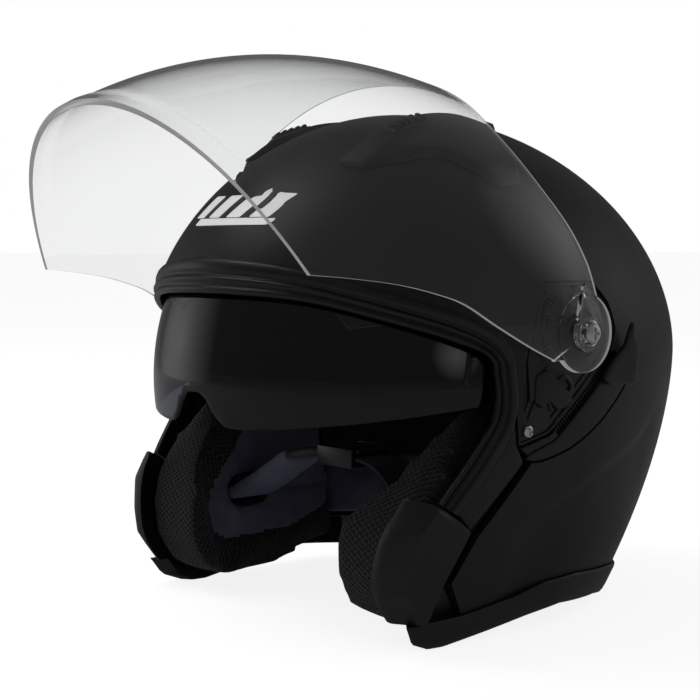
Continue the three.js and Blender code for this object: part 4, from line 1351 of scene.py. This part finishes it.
@dataclass
class HingeSide:
    """Ratchet plate, release lever, side cover and screws of one side."""

    shop: Workshop
    rows: RowTree
    word: str
    side: int
    tooth_reach: float = 21.0
    low_screw: tuple[float, float, float] = (119.7, -39.45, 96.0)

    def ribs(self) -> list[bpy.types.Object]:
        """Raised ribs, rails and the sloping wall of the plate."""
        lift = on_side(self.side)
        hub = (BLISTER.y, BLISTER.z)
        low = [(0.25, -1.35), (0, -1.6), (0, -2.5)]
        lines = [((-38.5, 103), (-29.5, 127)), ((-36, 101), (-27, 124)), ((-22, 98.5), (7, 125.5)),
                 ((-24, 101), (2, 125)), ((-35, 128), (-16, 128.5)), ((-28, 112), (-24, 104))]
        made = [draped("rib", lift, bar(*reached(line), 1.5), low, 4) for line in lines]
        for inner, outer, start, end in ((22.6, 24.0, 128, 212), (17.8, 18.8, 120, 215), (11.5, 12.6, 30, 330)):
            made.append(draped("rail", lift, arc(hub, inner, outer, start, end), low, 4))
        wall = rounded([(-38.5, 108), (-31, 112), (-26.5, 158), (-32.5, 146), (-38.5, 128)], 1.5)
        made.append(draped("wall", lift, wall, [(0.5, -0.7, 1), (0.1, -1.0, 1), (0, -1.6, 1), (0, -2.8, 0)], 2,
                           lambda y, z: -0.13 * np.maximum(y + 38, 0)))
        knob = rounded([(-26, 116), (-17, 121), (-11, 115), (-17, 107), (-24, 108)], 3)
        made.append(banded("knob", lift, knob,
                           [(0, -2.5), (0.1, -1.1), (0.6, -0.8), (1.6, -0.8), (2.1, -1.2), (2.2, -2.5)]))
        return made

    def plate(self) -> None:
        """The ratchet plate with its teeth, rails and dish."""
        lift = on_side(self.side)
        outline = rounded(PLATE, 3.0)
        face = float(SKIN.side(np.array(BLISTER.y), np.array(BLISTER.z), np.array(0.0))[0])
        floor = draped("floor", lift, outline, [(0.6, -2.2), (0.15, -2.3), (0, -2.6), (0, -2.9)], 3)
        rim = banded("rim", lift, outline, [(0.1, -2.6), (0.05, -1.5), (0.4, -1.2), (1.0, -1.2), (1.35, -1.5),
                                            (1.4, -2.6)])
        dish = turned("dish", [(0, -2.6), (9, -2.6), (9, -0.9), (8.6, -0.5), (7.4, -0.5), (7, -0.9),
                               (5.4, -0.9), (5, -0.2), (0, -0.2)],
                      (self.side * face, BLISTER.y, BLISTER.z), self.side, 64)
        seat = turned("seat", [(0, -2), (4.6, -2), (4.6, -0.4), (3.9, 0.1), (3.3, 0.1), (3.1, -0.9), (0, -0.9)],
                      (self.side * 117.9, self.low_screw[1], self.low_screw[2]), self.side, 40)
        turn = np.radians(np.linspace(134, 206, 40))
        y, z = BLISTER.y + self.tooth_reach * np.cos(turn), BLISTER.z + self.tooth_reach * np.sin(turn)
        line = SKIN.side(y, z, np.full(40, -1.6)) * (self.side, 1, 1)
        teeth = self.rows.run("teeth", line, np.array((self.side, 0, 0)), 15, (1.1, 2.8, 2.0),
                              self.shop.materials[Slot.HINGE], True, 0.25)
        teeth.data.materials.clear()
        whole = merged(f"ratchet_plate_{self.word}", [floor, rim, dish, seat, teeth, *self.ribs()])
        self.shop.dress(smoothed(whole, 35), Slot.HINGE, "helmet", f"hinge_plate_{self.word}")

    def brush(self) -> None:
        """Row of short fins that fills the slot between the plate and the side cover."""
        line = np.linspace((-19.5, 94.6), (15.5, 127.2), 30)
        points = SKIN.side(line[:, 0], line[:, 1], np.full(30, -2.9)) * (self.side, 1, 1)
        fins = self.rows.run(f"slot_fins_{self.word}", points, np.array((self.side, 0, 0)), 30, (0.8, 4.2, 1.3),
                             self.shop.materials[Slot.TRIM], True, 0.2)
        self.shop.dress(smoothed(fins, 40), Slot.TRIM, "helmet")

    def screw(self, name: str, profile: Points, centre: Sequence[float], reach: float, node: str) -> None:
        """A cross-head screw."""
        x, y, z = centre
        head = turned(name, profile, (self.side * x, y, z), self.side, 48)
        top = x + max(out for _, out in profile)
        for wide, high in ((reach, 0.55), (0.55, reach)):
            slot = [(y - wide, z - high), (y + wide, z - high), (y + wide, z + high), (y - wide, z + high)]
            near, far = sorted((self.side * (top - 1.1), self.side * (top + 3)))
            combined(head, [prism("slot", slot, near, far)], "DIFFERENCE")
        self.shop.dress(smoothed(head, 30), Slot.STEEL, "helmet", node)

    def build(self) -> None:
        """Everything on this side."""
        self.plate()
        self.brush()
        lift = on_side(self.side)
        lever = draped(f"lever_{self.word}", lift, rounded(RELEASE_LEVER, 1.6, 0.8),
                       [(0.9, -0.2), (0.35, -0.3), (0.05, -0.7), (0, -1.2), (0, -2.1)], 1.5)
        joint = f"release_lever_{self.word}"
        self.shop.dress(smoothed(lever, 40), Slot.HINGE, joint, joint)
        leaf = draped(f"leaf_cover_{self.word}", lift, rounded(LEAF, 2.6),
                      [(1.1, 0.0), (0.5, -0.08), (0.12, -0.4), (0, -1.0), (0, -2.9)], 3)
        self.shop.dress(smoothed(leaf, 40), Slot.SHELL, "helmet", f"side_cover_{self.word}")
        self.screw(f"pivot_{self.word}", [(0, -3), (3, -3), (3, 5.2), (4.3, 5.4), (4.6, 5.9), (4.5, 6.8),
                                          (3.9, 7.5), (2.8, 7.8), (0, 7.8)],
                   (BLISTER.ear_inner, BLISTER.y, BLISTER.z), 2.8, f"pivot_screw_{self.word}")
        self.screw(f"base_screw_{self.word}",
                   [(0, -0.6), (2.9, -0.6), (2.9, 1.3), (2.5, 2.0), (1.5, 2.5), (0, 2.6)],
                   self.low_screw, 1.8, f"plate_screw_{self.word}")


@dataclass
class SunVisor:
    """The dark inner visor, its arms and pins, and the lever that works it."""

    shop: Workshop
    shape: Lens = LENS

    def chart(self, x: float, angle: float) -> tuple[float, float]:
        """Chart coordinates of a lens point from its x and its angle in degrees."""
        half = self.shape.half_width
        return half * math.asin(x / half), math.radians(angle) * self.shape.radius

    def lens(self) -> bpy.types.Object:
        """The tinted sheet, with the dip over the nose."""
        shape = self.shape
        nose = spline([(24, -8.8), (19, -8.0), (14, -5.6), (9, -2.6), (4.5, -1.3), (0, -1.15)], 30)
        dip = [self.chart(x, angle) for x, angle in nose]
        notch = [*[(-u, v) for u, v in dip], *dip[-2::-1]]
        low, high, end = math.radians(shape.bottom - 0.6), math.radians(shape.top), self.chart(109.6, 0)[0]
        corners = [(-end, low * shape.radius), *notch, (end, low * shape.radius), (end, 0.2 * shape.radius),
                   (end - 4, high * shape.radius), (4 - end, high * shape.radius), (-end, 0.2 * shape.radius)]
        rows = [(0.7, 0), (0.2, -0.2), (0, -0.7), (0, -1.3), (0.2, -1.8), (0.7, -2)]
        return draped("lens", shape.lift, rounded(corners, 5, 1.2), rows, 2.6)

    def build(self) -> None:
        """The lens on its arms, the pins and the lever."""
        shape = self.shape

        def ray(degrees: float, reach: float) -> tuple[float, float]:
            """Side view point at an angle and a reach from the axis."""
            turn = math.radians(degrees)
            return shape.y - reach * math.cos(turn), shape.z + reach * math.sin(turn)

        lens = self.lens()
        outline = rounded([ray(100, 6), ray(150, 6), ray(-120, 6), ray(-60, 6), ray(4, 50), ray(24, 51)], 2.5)
        for side in SIDES.values():
            arm = draped("arm", flat_on(side, shape.arm_x - 5), outline,
                         [(0.6, 3.0), (0.1, 2.8), (0, 2.3), (0, 0.7), (0.1, 0.2), (0.6, 0)], 5)
            bore = turned("bore", [(0, -12), (2.6, -12), (2.6, 8), (0, 8)],
                          (side * shape.arm_x, shape.y, shape.z), side, 32)
            combined(arm, [bore], "DIFFERENCE")
            combined(lens, [arm], "UNION")
        lens.name = "smoked_lens"
        self.shop.dress(smoothed(lens, 40), Slot.SMOKE, "sun_visor", "sun_visor")
        for word in SIDES:
            pin = recast(f"sun_visor_pin_{word}", f"lens_pin_{word}", 0.25)
            self.shop.dress(smoothed(pin, 40), Slot.STEEL, "helmet", f"sun_visor_pin_{word}")
        foot = [(4, 117.5), (8, 114), (26, 114), (28.5, 128), (24, 143), (18, 131), (12, 126.5)]
        ridge = [(18.6, 115.6), (23.4, 115.6), (26.3, 130), (24.1, 141.6), (20.6, 130)]
        lever = draped("foot", flat_on(1, 125.1), rounded(foot, 1.4, 0.8),
                       [(1.1, 2.2), (0.4, 2.0), (0.05, 1.5), (0, 0.8), (0.1, 0)], 1.6)
        crest = draped("ridge", flat_on(1, 126.6), rounded(ridge, 1.0, 0.7),
                       [(1.7, 3.0), (1.0, 2.6), (0.3, 1.3), (0, 0.5), (0, 0)], 1.2)
        blade = rounded([(5.2, 120), (11.2, 125.5), (13, 123.6), (7, 118)], 0.5, 0.7)
        stem = draped("stem", flat_on(1, 121.9), blade, [(0.2, 4.0), (0, 3.8), (0, 0.2), (0.2, 0)], 2)
        combined(lever, [crest, stem], "UNION")
        lever.name = "inner_visor_lever"
        self.shop.dress(smoothed(lever, 28), Slot.HINGE, "sun_visor_lever", "sun_visor_lever")


@dataclass
class Vents:
    """Intake vents on the crown, the exhaust at the rear and the printed mark on the brow."""

    shop: Workshop
    rows: RowTree
    plan: tuple = ((37, -80), (52, -74), (60, -58), (66, -42), (89, -27), (89, -13), (76, -3), (56, 4),
                   (40, 21), (35, 4), (37, -40))
    scoop: tuple = ((64, -36), (84, -25), (84, -16), (72, -8), (54, -3), (52, -22))
    track: tuple = ((40.5, -57), (50, -57), (49, -14), (39.5, -14))
    slider: tuple = ((41.3, -54), (49, -54), (48.4, -31), (40.6, -31))

    @staticmethod
    def on_crown(side: int) -> Lift:
        """Lift of plan outlines onto the crown, mirrored for the right side."""
        return lambda x, y, grow: SKIN.plan(x, y, grow) * (side, 1, 1)

    def row_on_crown(self, name: str, side: int, ends: Points, grow: float, count: int,
                     size: Sequence[float]) -> bpy.types.Object:
        """Row of bars over the crown between two plan points."""
        line = np.linspace(ends[0], ends[1], 16)
        level = np.full(16, grow)
        points = SKIN.plan(line[:, 0], line[:, 1], level)
        across = SKIN.plan(line[:, 0] + 0.1, line[:, 1], level) - points
        along = SKIN.plan(line[:, 0], line[:, 1] + 0.1, level) - points
        up = np.cross(across, along)
        up /= np.linalg.norm(up, axis=1, keepdims=True)
        row = self.rows.run(name, points * (side, 1, 1), up * (side, 1, 1), count, size,
                            self.shop.materials[Slot.TRIM], True, 0.35)
        row.data.materials.clear()
        return row

    def intake(self, word: str, side: int) -> None:
        """One intake vent with its slider."""
        lift = self.on_crown(side)

        def crown(x: np.ndarray, y: np.ndarray) -> np.ndarray:
            """Falls away to the front tip, to the wing and behind."""
            keel = np.abs(x - 46 - 0.05 * (y + 40))
            return (-3.4 * (1 - eased(y, -82, -50)) - 1.3 * eased(keel, 5, 40) - 1.5 * eased(y, -2, 20)
                    - 0.9 * eased(keel, 5.5, 7.5) * (1 - eased(y, -44, -30)))

        rows = [(1.5, 5.0, 1), (0.8, 4.6, 1), (0.25, 3.4, 0.9), (0.05, 1.6, 0.35), (0, 0.3, 0)]
        body = draped("housing", lift, rounded(self.plan, 2.2, 1.1), rows, 1.7, crown)
        for outline, floor in ((self.scoop, 1.3), (self.track, 1.2)):
            cutter = draped("cutter", lift, rounded(outline, 1.4, 1.0),
                            [(-0.6, 9), (-0.6, 5.4), (0, 3.6), (0.2, floor)], 3)
            combined(body, [cutter], "DIFFERENCE")
        fins = self.row_on_crown("fins", side, ((60, -15), (79, -22)), 2.1, 5, (1.2, 17, 2.4))
        whole = merged(f"intake_{word}", [body, fins])
        self.shop.dress(smoothed(whole, 24), Slot.TRIM, "helmet", f"top_vent_{word}")
        plate = draped("slide", lift, rounded(self.slider, 1.2, 0.8),
                       [(0.9, 6.0), (0.3, 5.8), (0.05, 5.3), (0, 4.6), (0, 3.2)], 2)
        ribs = self.row_on_crown("ribs", side, ((45.1, -50.5), (44.8, -34)), 6.4, 5, (2.2, 6.4, 2.2))
        slide = f"vent_slider_{word}"
        self.shop.dress(smoothed(merged(f"slider_{word}", [plate, ribs]), 35), Slot.TRIM, slide, slide)

    def exhaust(self) -> None:
        """The rear vent with three louvres."""
        lift = self.on_crown(1)
        outline = rounded([(-34, 96), (34, 96), (27, 128), (-27, 128)], 4, 1.3)
        rows = [(2.2, 4.0), (1.2, 3.7), (0.4, 2.6), (0.05, 1.2), (0, 0.3)]
        body = draped("exhaust", lift, outline, rows, 2.2)
        for step in range(3):
            low, high = 103 + 8 * step, 106.5 + 8 * step
            slot = rounded([(-22, low), (22, low), (20, high), (-20, high)], 1.2, 1.0)
            cutter = draped("slot", lift, slot, [(-0.8, 7), (-0.5, 4.1), (0, 3.2), (0.1, 1.4)], 3)
            combined(body, [cutter], "DIFFERENCE")
        body.name = "exhaust_vent"
        self.shop.dress(smoothed(body, 24), Slot.TRIM, "helmet", "rear_vent")

    def mark(self) -> None:
        """Plain slanted bars over a thin line, standing for the printed mark."""
        parts = [[(-28, 187), (28, 187), (30, 190.2), (-26, 190.2)]]
        parts += [[(x - 9, 190.6), (x + 1, 190.6), (x + 9, 201), (x - 1, 201)] for x in (-24, -8, 8, 24)]
        inks = [draped("ink", SKIN.ahead, rounded(part, 0.7, 0.8), [(0.2, 0.55), (0, 0.4), (0, 0.3)], 3)
                for part in parts]
        # The mark's material glows: painted light.
        self.shop.dress(smoothed(merged("brow_mark", inks), 40), Slot.MARK, "helmet", "forehead_mark")

    def build(self) -> None:
        """Both intakes, the exhaust and the mark."""
        for word, side in SIDES.items():
            self.intake(word, side)
        self.exhaust()
        self.mark()


# ---------------------------------------------------------------- soft parts
def pressed(thing: bpy.types.Object, voxel: float, shrink: float, cap: float,
            rounds: int = 4) -> bpy.types.Object:
    """Turns a solid into a padded form by cloth pressure.

    Args:
        thing: closed solid, which is used up.
        voxel: size of the even net it is given, in millimetres.
        shrink: how far it is drawn in first, because the pressure swells it.
        cap: how far a point may move.
        rounds: rounds of smoothing before the pressure.

    Returns:
        The padded form, with one level of subdivision.
    """
    remeshed(thing, voxel, rounds)
    draw = thing.modifiers.new("draw", "DISPLACE")
    draw.strength, draw.mid_level = -shrink * MM, 0
    applied(thing)
    before = in_mm(thing)
    cloth = thing.modifiers.new("cloth", "CLOTH")
    cloth.settings.use_pressure = True
    cloth.settings.uniform_pressure_force = 4
    cloth.settings.effector_weights.gravity = 0
    cloth.settings.quality = 4
    for moment in range(1, 21):
        bpy.context.scene.frame_set(moment)
    applied(thing)
    bpy.context.scene.frame_set(1)
    moved = in_mm(thing) - before
    length = np.linalg.norm(moved, axis=1, keepdims=True)
    put_mm(thing, before + moved * np.minimum(1, cap / np.maximum(length, 1e-6)))
    finer = thing.modifiers.new("finer", "SUBSURF")
    finer.levels = finer.render_levels = 1
    applied(thing)
    thing.data.shade_smooth()
    return thing


def lay_uv(thing: bpy.types.Object, across: np.ndarray, along: np.ndarray) -> None:
    """Gives a mesh a UV map in millimetres from two values at each point."""
    layer = thing.data.uv_layers.new(name="UVMap")
    corner = np.empty(len(thing.data.loops), int)
    thing.data.loops.foreach_get("vertex_index", corner)
    layer.data.foreach_set("uv", np.stack([across[corner], along[corner]], -1).astype(np.float32).ravel())


def nearest(line: np.ndarray, y: np.ndarray, z: np.ndarray) -> tuple[np.ndarray, np.ndarray]:
    """Distance from a closed line and the run along it to the nearest point."""
    closed = np.vstack([line, line[:1]])
    a, b = closed[:-1], closed[1:]
    run = np.concatenate([[0], np.cumsum(np.linalg.norm(b - a, axis=1))])
    point = np.stack([y, z], -1)[:, None, :]
    share = np.clip(((point - a) * (b - a)).sum(-1) / ((b - a) ** 2).sum(-1), 0, 1)
    away = np.linalg.norm(point - (a + share[..., None] * (b - a)), axis=-1)
    best = away.argmin(1)
    pick = np.arange(len(best))
    return away[pick, best], run[best] + share[pick, best] * (run[best + 1] - run[best])


@dataclass
class Linings:
    """Crown pad, neck roll and cheek pads, padded by cloth pressure."""

    shop: Workshop
    knit_band: float = 20.0
    groove: float = 0.9

    def crown(self) -> None:
        """Comfort lining of the crown."""
        port = [(-260, 186), (-100, 186), (-60, 150), (-46, 118), (200, 118), (200, -30), (-260, -30)]
        pad = dome("crown_lining", -28.5, 0, 96, 48)
        combined(pad, [dome("hollow", -36, -4, 96, 48)], "DIFFERENCE")
        combined(pad, [prism("port", port, -170, 170)], "DIFFERENCE")
        pressed(pad, 3.2, 0.6, 5)
        self.shop.dress(pad, Slot.LINING, "helmet", "crown_pad")

    def roll(self) -> None:
        """Padded roll round the neck."""
        outline = [(14.5, 59.5), (14.5, 26), (47, 24), (80, 19), (130, 17), (130, 59.5)]
        pad = dome("neck_cushion", -6.5, -4, 120, 60)
        combined(pad, [dome("hollow", -26, -8, 120, 60)], "DIFFERENCE")
        combined(pad, [prism("band", outline, -170, 170)], "INTERSECT")
        pressed(pad, 4.5, 1.6, 6)
        self.shop.dress(pad, Slot.LINING, "helmet", "neck_roll")

    def cheek(self, word: str, side: int) -> None:
        """One cheek pad: knit round the front and the bottom, brushed fabric towards the face."""
        outline = rounded(CHEEK, 6, 2)
        pad = dome(f"cheek_cushion_{word}", -9.3, -4, 150, 80)
        combined(pad, [dome("hollow", -36.5, -8, 150, 80)], "DIFFERENCE")
        near, far = sorted((side * 54, side * 170))
        combined(pad, [prism("side", outline, near, far)], "INTERSECT")
        pivot = (side * LENS.arm_x, LENS.y, LENS.z)
        arm = turned("arm", [(0, -9), (68, -9), (68, 12), (0, 12)], pivot, side, 64)
        near, far = sorted((side * 40, side * 170))
        slit = prism("slit", [(-60, 41), (-32, 41), (-32, 54), (-60, 54)], near, far)
        combined(pad, [arm, slit], "DIFFERENCE")
        pressed(pad, 3.6, 1.3, 5)
        points = in_mm(pad)
        rim = np.array(CHEEK, float)
        depth, run = nearest(rim, points[:, 1], points[:, 2])
        normals = np.empty(len(points) * 3)
        pad.data.vertices.foreach_get("normal", normals)
        normals = normals.reshape(-1, 3)
        inward = -side * normals[:, 0]
        front = np.minimum(distance_to(rim[:8], points[:, 1], points[:, 2]),
                           distance_to(rim[7:9], points[:, 1], points[:, 2]) + 3)
        seam = np.exp(-((front - self.knit_band) / 1.3) ** 2) * np.clip(inward * 2 - 0.4, 0, 1)
        put_mm(pad, points - normals * (self.groove * seam)[:, None])
        lay_uv(pad, run, depth - side * points[:, 0])
        soft = (front > self.knit_band) & (inward > 0.35)
        pad.data.materials.append(self.shop.materials[Slot.KNIT])
        pad.data.materials.append(self.shop.materials[Slot.LINING])
        for face in pad.data.polygons:
            face.material_index = int(soft[list(face.vertices)].mean() > 0.5)
        self.shop.dress(pad, Slot.KNIT, "helmet", f"cheek_pad_{word}")

    def build(self) -> None:
        """All the linings."""
        self.shop.dress_kept("eps_liner")
        self.crown()
        self.roll()
        for word, side in SIDES.items():
            self.cheek(word, side)


@dataclass
class ChinStrap:
    """The buckled chin strap with its padded sleeve, ratchet buckle and anchors."""

    shop: Workshop
    back: float = -34.0
    width: float = 24.0
    wall: float = 1.8
    right: tuple = ((-88, 45), (-76, 46), (-62, 52), (-44, 62), (-22, 73), (-1.5, 76))
    left: tuple = ((25.5, 74.5), (40, 71), (56, 58), (66, 50), (76, 46), (88, 45))

    def ribbon(self, name: str, path: np.ndarray, wide: float, low: float, high: float,
               corner: float) -> bpy.types.Object:
        """Flat band along a front view path, from `low` to `high` above the path."""
        middle = self.back - self.width / 2
        turn = np.radians(np.arange(0, 360, 15.0))
        half, thick = wide / 2 - corner, max((high - low) / 2 - corner, 0)
        section = np.stack([np.sign(np.cos(turn)) * half + corner * np.cos(turn),
                            np.sign(np.sin(turn)) * thick + corner * np.sin(turn) * 1.0], -1)
        step = np.gradient(path, axis=0)
        step /= np.linalg.norm(step, axis=1, keepdims=True)
        up = np.stack([-step[:, 1], step[:, 0]], -1)
        rings = []
        for point, rise in zip(path, up):
            lift = section[:, 1] + (low + high) / 2
            rings.append(np.stack([point[0] + rise[0] * lift, middle + section[:, 0],
                                   point[1] + rise[1] * lift], -1))
        band = make(name, *tube(np.array(rings)))
        points = in_mm(band)
        run = np.concatenate([[0], np.cumsum(np.linalg.norm(np.diff(path, axis=0), axis=1))])
        lay_uv(band, np.interp(points[:, 0], path[:, 0], run), points[:, 1])
        return smoothed(band, 60)

    def build(self) -> None:
        """Both halves, the sleeve, the anchors and the buckle."""
        for word, line in (("right", self.right), ("left", self.left)):
            path = spaced(spline(line, 60), 70)
            band = self.ribbon(f"webbing_{word}", path, self.width, 0, self.wall, 0.85)
            self.shop.dress(band, Slot.WEBBING, "helmet", f"chin_strap_{word}")
        path = spaced(spline(self.right, 60), 90)
        cover = path[(path[:, 0] > -82) & (path[:, 0] < -26)]
        sleeve = self.ribbon("strap_sleeve", cover, self.width + 5, -2.4, self.wall + 3.4, 2.8)
        sleeve.data.uv_layers.remove(sleeve.data.uv_layers[0])
        pressed(sleeve, 2.2, 0.5, 3, 2)
        self.shop.dress(sleeve, Slot.LINING, "helmet")
        for word in SIDES:
            anchor = recast(f"strap_anchor_{word}", f"anchor_plate_{word}", 0.35)
            self.shop.dress(smoothed(anchor, 35), Slot.STEEL, "helmet", f"strap_anchor_{word}")
        tongue = recast("buckle_tongue", "ratchet_tongue", 0.3)
        self.shop.dress(smoothed(tongue, 35), Slot.GASKET, "helmet", "buckle_tongue")
        body = recast("buckle_body", "buckle_frame", 0.5)
        self.shop.dress(smoothed(body, 35), Slot.GASKET, "helmet", "buckle_body")
        lever = recast("buckle_lever", "buckle_latch", 0.5)
        self.shop.dress(smoothed(lever, 35), Slot.HINGE, "buckle_lever", "buckle_lever")


# ---------------------------------------------------------------- studio
@dataclass
class Studio:
    """Pale floor, soft lights and the camera."""

    camera_at: tuple[float, float, float] = (0.5933, -0.5214, 0.1771)
    looks_at: tuple[float, float, float] = (-0.0009, -0.0187, 0.1258)
    lens: float = 80.7
    dim: float = 0.12
    glow: float = 0.86

    @staticmethod
    def seen(graph: Graph) -> bpy.types.NodeSocket:
        """1 for what is seen directly or through the clear sheet, 0 for what only lights the object."""
        ray = graph.add("ShaderNodeLightPath")
        bounced = graph.maths("ADD", ray.outputs["Diffuse Depth"], ray.outputs["Glossy Depth"])
        straight = graph.maths("LESS_THAN", bounced, 0.5)
        through = graph.maths("MULTIPLY", ray.outputs["Is Transmission Ray"], straight)
        return graph.maths("MAXIMUM", ray.outputs["Is Camera Ray"], through)

    def floor(self) -> None:
        """The floor, which isn't part of the object."""
        mesh = bpy.data.meshes.new("floor")
        mesh.from_pydata([(-40, -40, 0), (40, -40, 0), (40, 40, 0), (-40, 40, 0)], [], [(0, 1, 2, 3)])
        thing = bpy.data.objects.new("floor", mesh)
        bpy.context.scene.collection.objects.link(thing)
        material, graph, body = new_material("floor_paper", {
            "Base Color": (0.8, 0.8, 0.8, 1), "Roughness": 0.9, "Specular IOR Level": 0.1,
            "Emission Color": (1, 1, 1, 1)})
        glow = graph.ramp(self.seen(graph), 0.0, 1.0, 0.05, self.glow)
        material.node_tree.links.new(glow, body.inputs["Emission Strength"])
        mesh.materials.append(material)

    def world(self) -> None:
        """White surroundings, dimmer as a light than as seen directly or through the clear sheet."""
        world = bpy.data.worlds.new("studio")
        world.use_nodes = True
        graph = Graph(world.node_tree)
        strength = graph.ramp(self.seen(graph), 0.0, 1.0, self.dim, 1.0)
        world.node_tree.links.new(strength, world.node_tree.nodes["Background"].inputs["Strength"])
        world.node_tree.nodes["Background"].inputs["Color"].default_value = (1, 1, 1, 1)
        bpy.context.scene.world = world

    def light(self, name: str, place: Sequence[float], target: Sequence[float], size: float,
              power: float) -> None:
        """A round light that fades towards its rim."""
        lamp = bpy.data.lights.new(name, "AREA")
        lamp.shape, lamp.size, lamp.energy = "DISK", size, power
        lamp.use_nodes = True
        graph = Graph(lamp.node_tree)
        where = graph.add("ShaderNodeNewGeometry").outputs["Position"]
        away = graph.vector("LENGTH", graph.vector("SUBTRACT", where, tuple(place)))
        fade = graph.ramp(away, 0.0, size / 2, 1.0, 0.0)
        lamp.node_tree.links.new(fade, lamp.node_tree.nodes["Emission"].inputs["Strength"])
        thing = bpy.data.objects.new(name, lamp)
        thing.location = place
        thing.rotation_euler = (Vector(target) - Vector(place)).to_track_quat("-Z", "Y").to_euler()
        thing.visible_camera = False
        bpy.context.scene.collection.objects.link(thing)

    def build(self) -> None:
        """Everything round the object."""
        scene = bpy.context.scene
        scene.view_settings.view_transform = "Standard"
        self.floor()
        self.world()
        middle = (0, 0, 0.13)
        self.light("rear_right", (0.7, 1.5, 0.7), middle, 1.7, 4)
        self.light("top", (-0.9, -0.7, 1.7), middle, 1.6, 14)
        self.light("front_left", (-1.7, -0.75, 0.3), middle, 2.0, 7)
        self.light("front_right", (2.0, -0.25, 0.5), middle, 0.8, 1.4)
        camera = bpy.data.cameras.new("camera")
        camera.lens, camera.sensor_width, camera.clip_start, camera.clip_end = self.lens, 36, 0.01, 200
        thing = bpy.data.objects.new("camera", camera)
        thing.location = self.camera_at
        sight = Vector(self.looks_at) - Vector(self.camera_at)
        thing.rotation_euler = sight.to_track_quat("-Z", "Y").to_euler()
        scene.collection.objects.link(thing)
        scene.camera = thing


def main() -> None:
    """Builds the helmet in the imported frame, dresses it and sets the studio round it."""
    logging.basicConfig(level=logging.INFO, format="%(relativeCreated)d %(name)s %(message)s")
    shop = Workshop()
    rows = RowTree()
    OuterShell(shop).build()
    Edgings(shop).build()
    ClearVisor(shop).build()
    for word, side in SIDES.items():
        HingeSide(shop, rows, word, side).build()
    SunVisor(shop).build()
    Vents(shop, rows).build()
    Linings(shop).build()
    ChinStrap(shop).build()
    Studio().build()


if __name__ == "__main__":
    main()
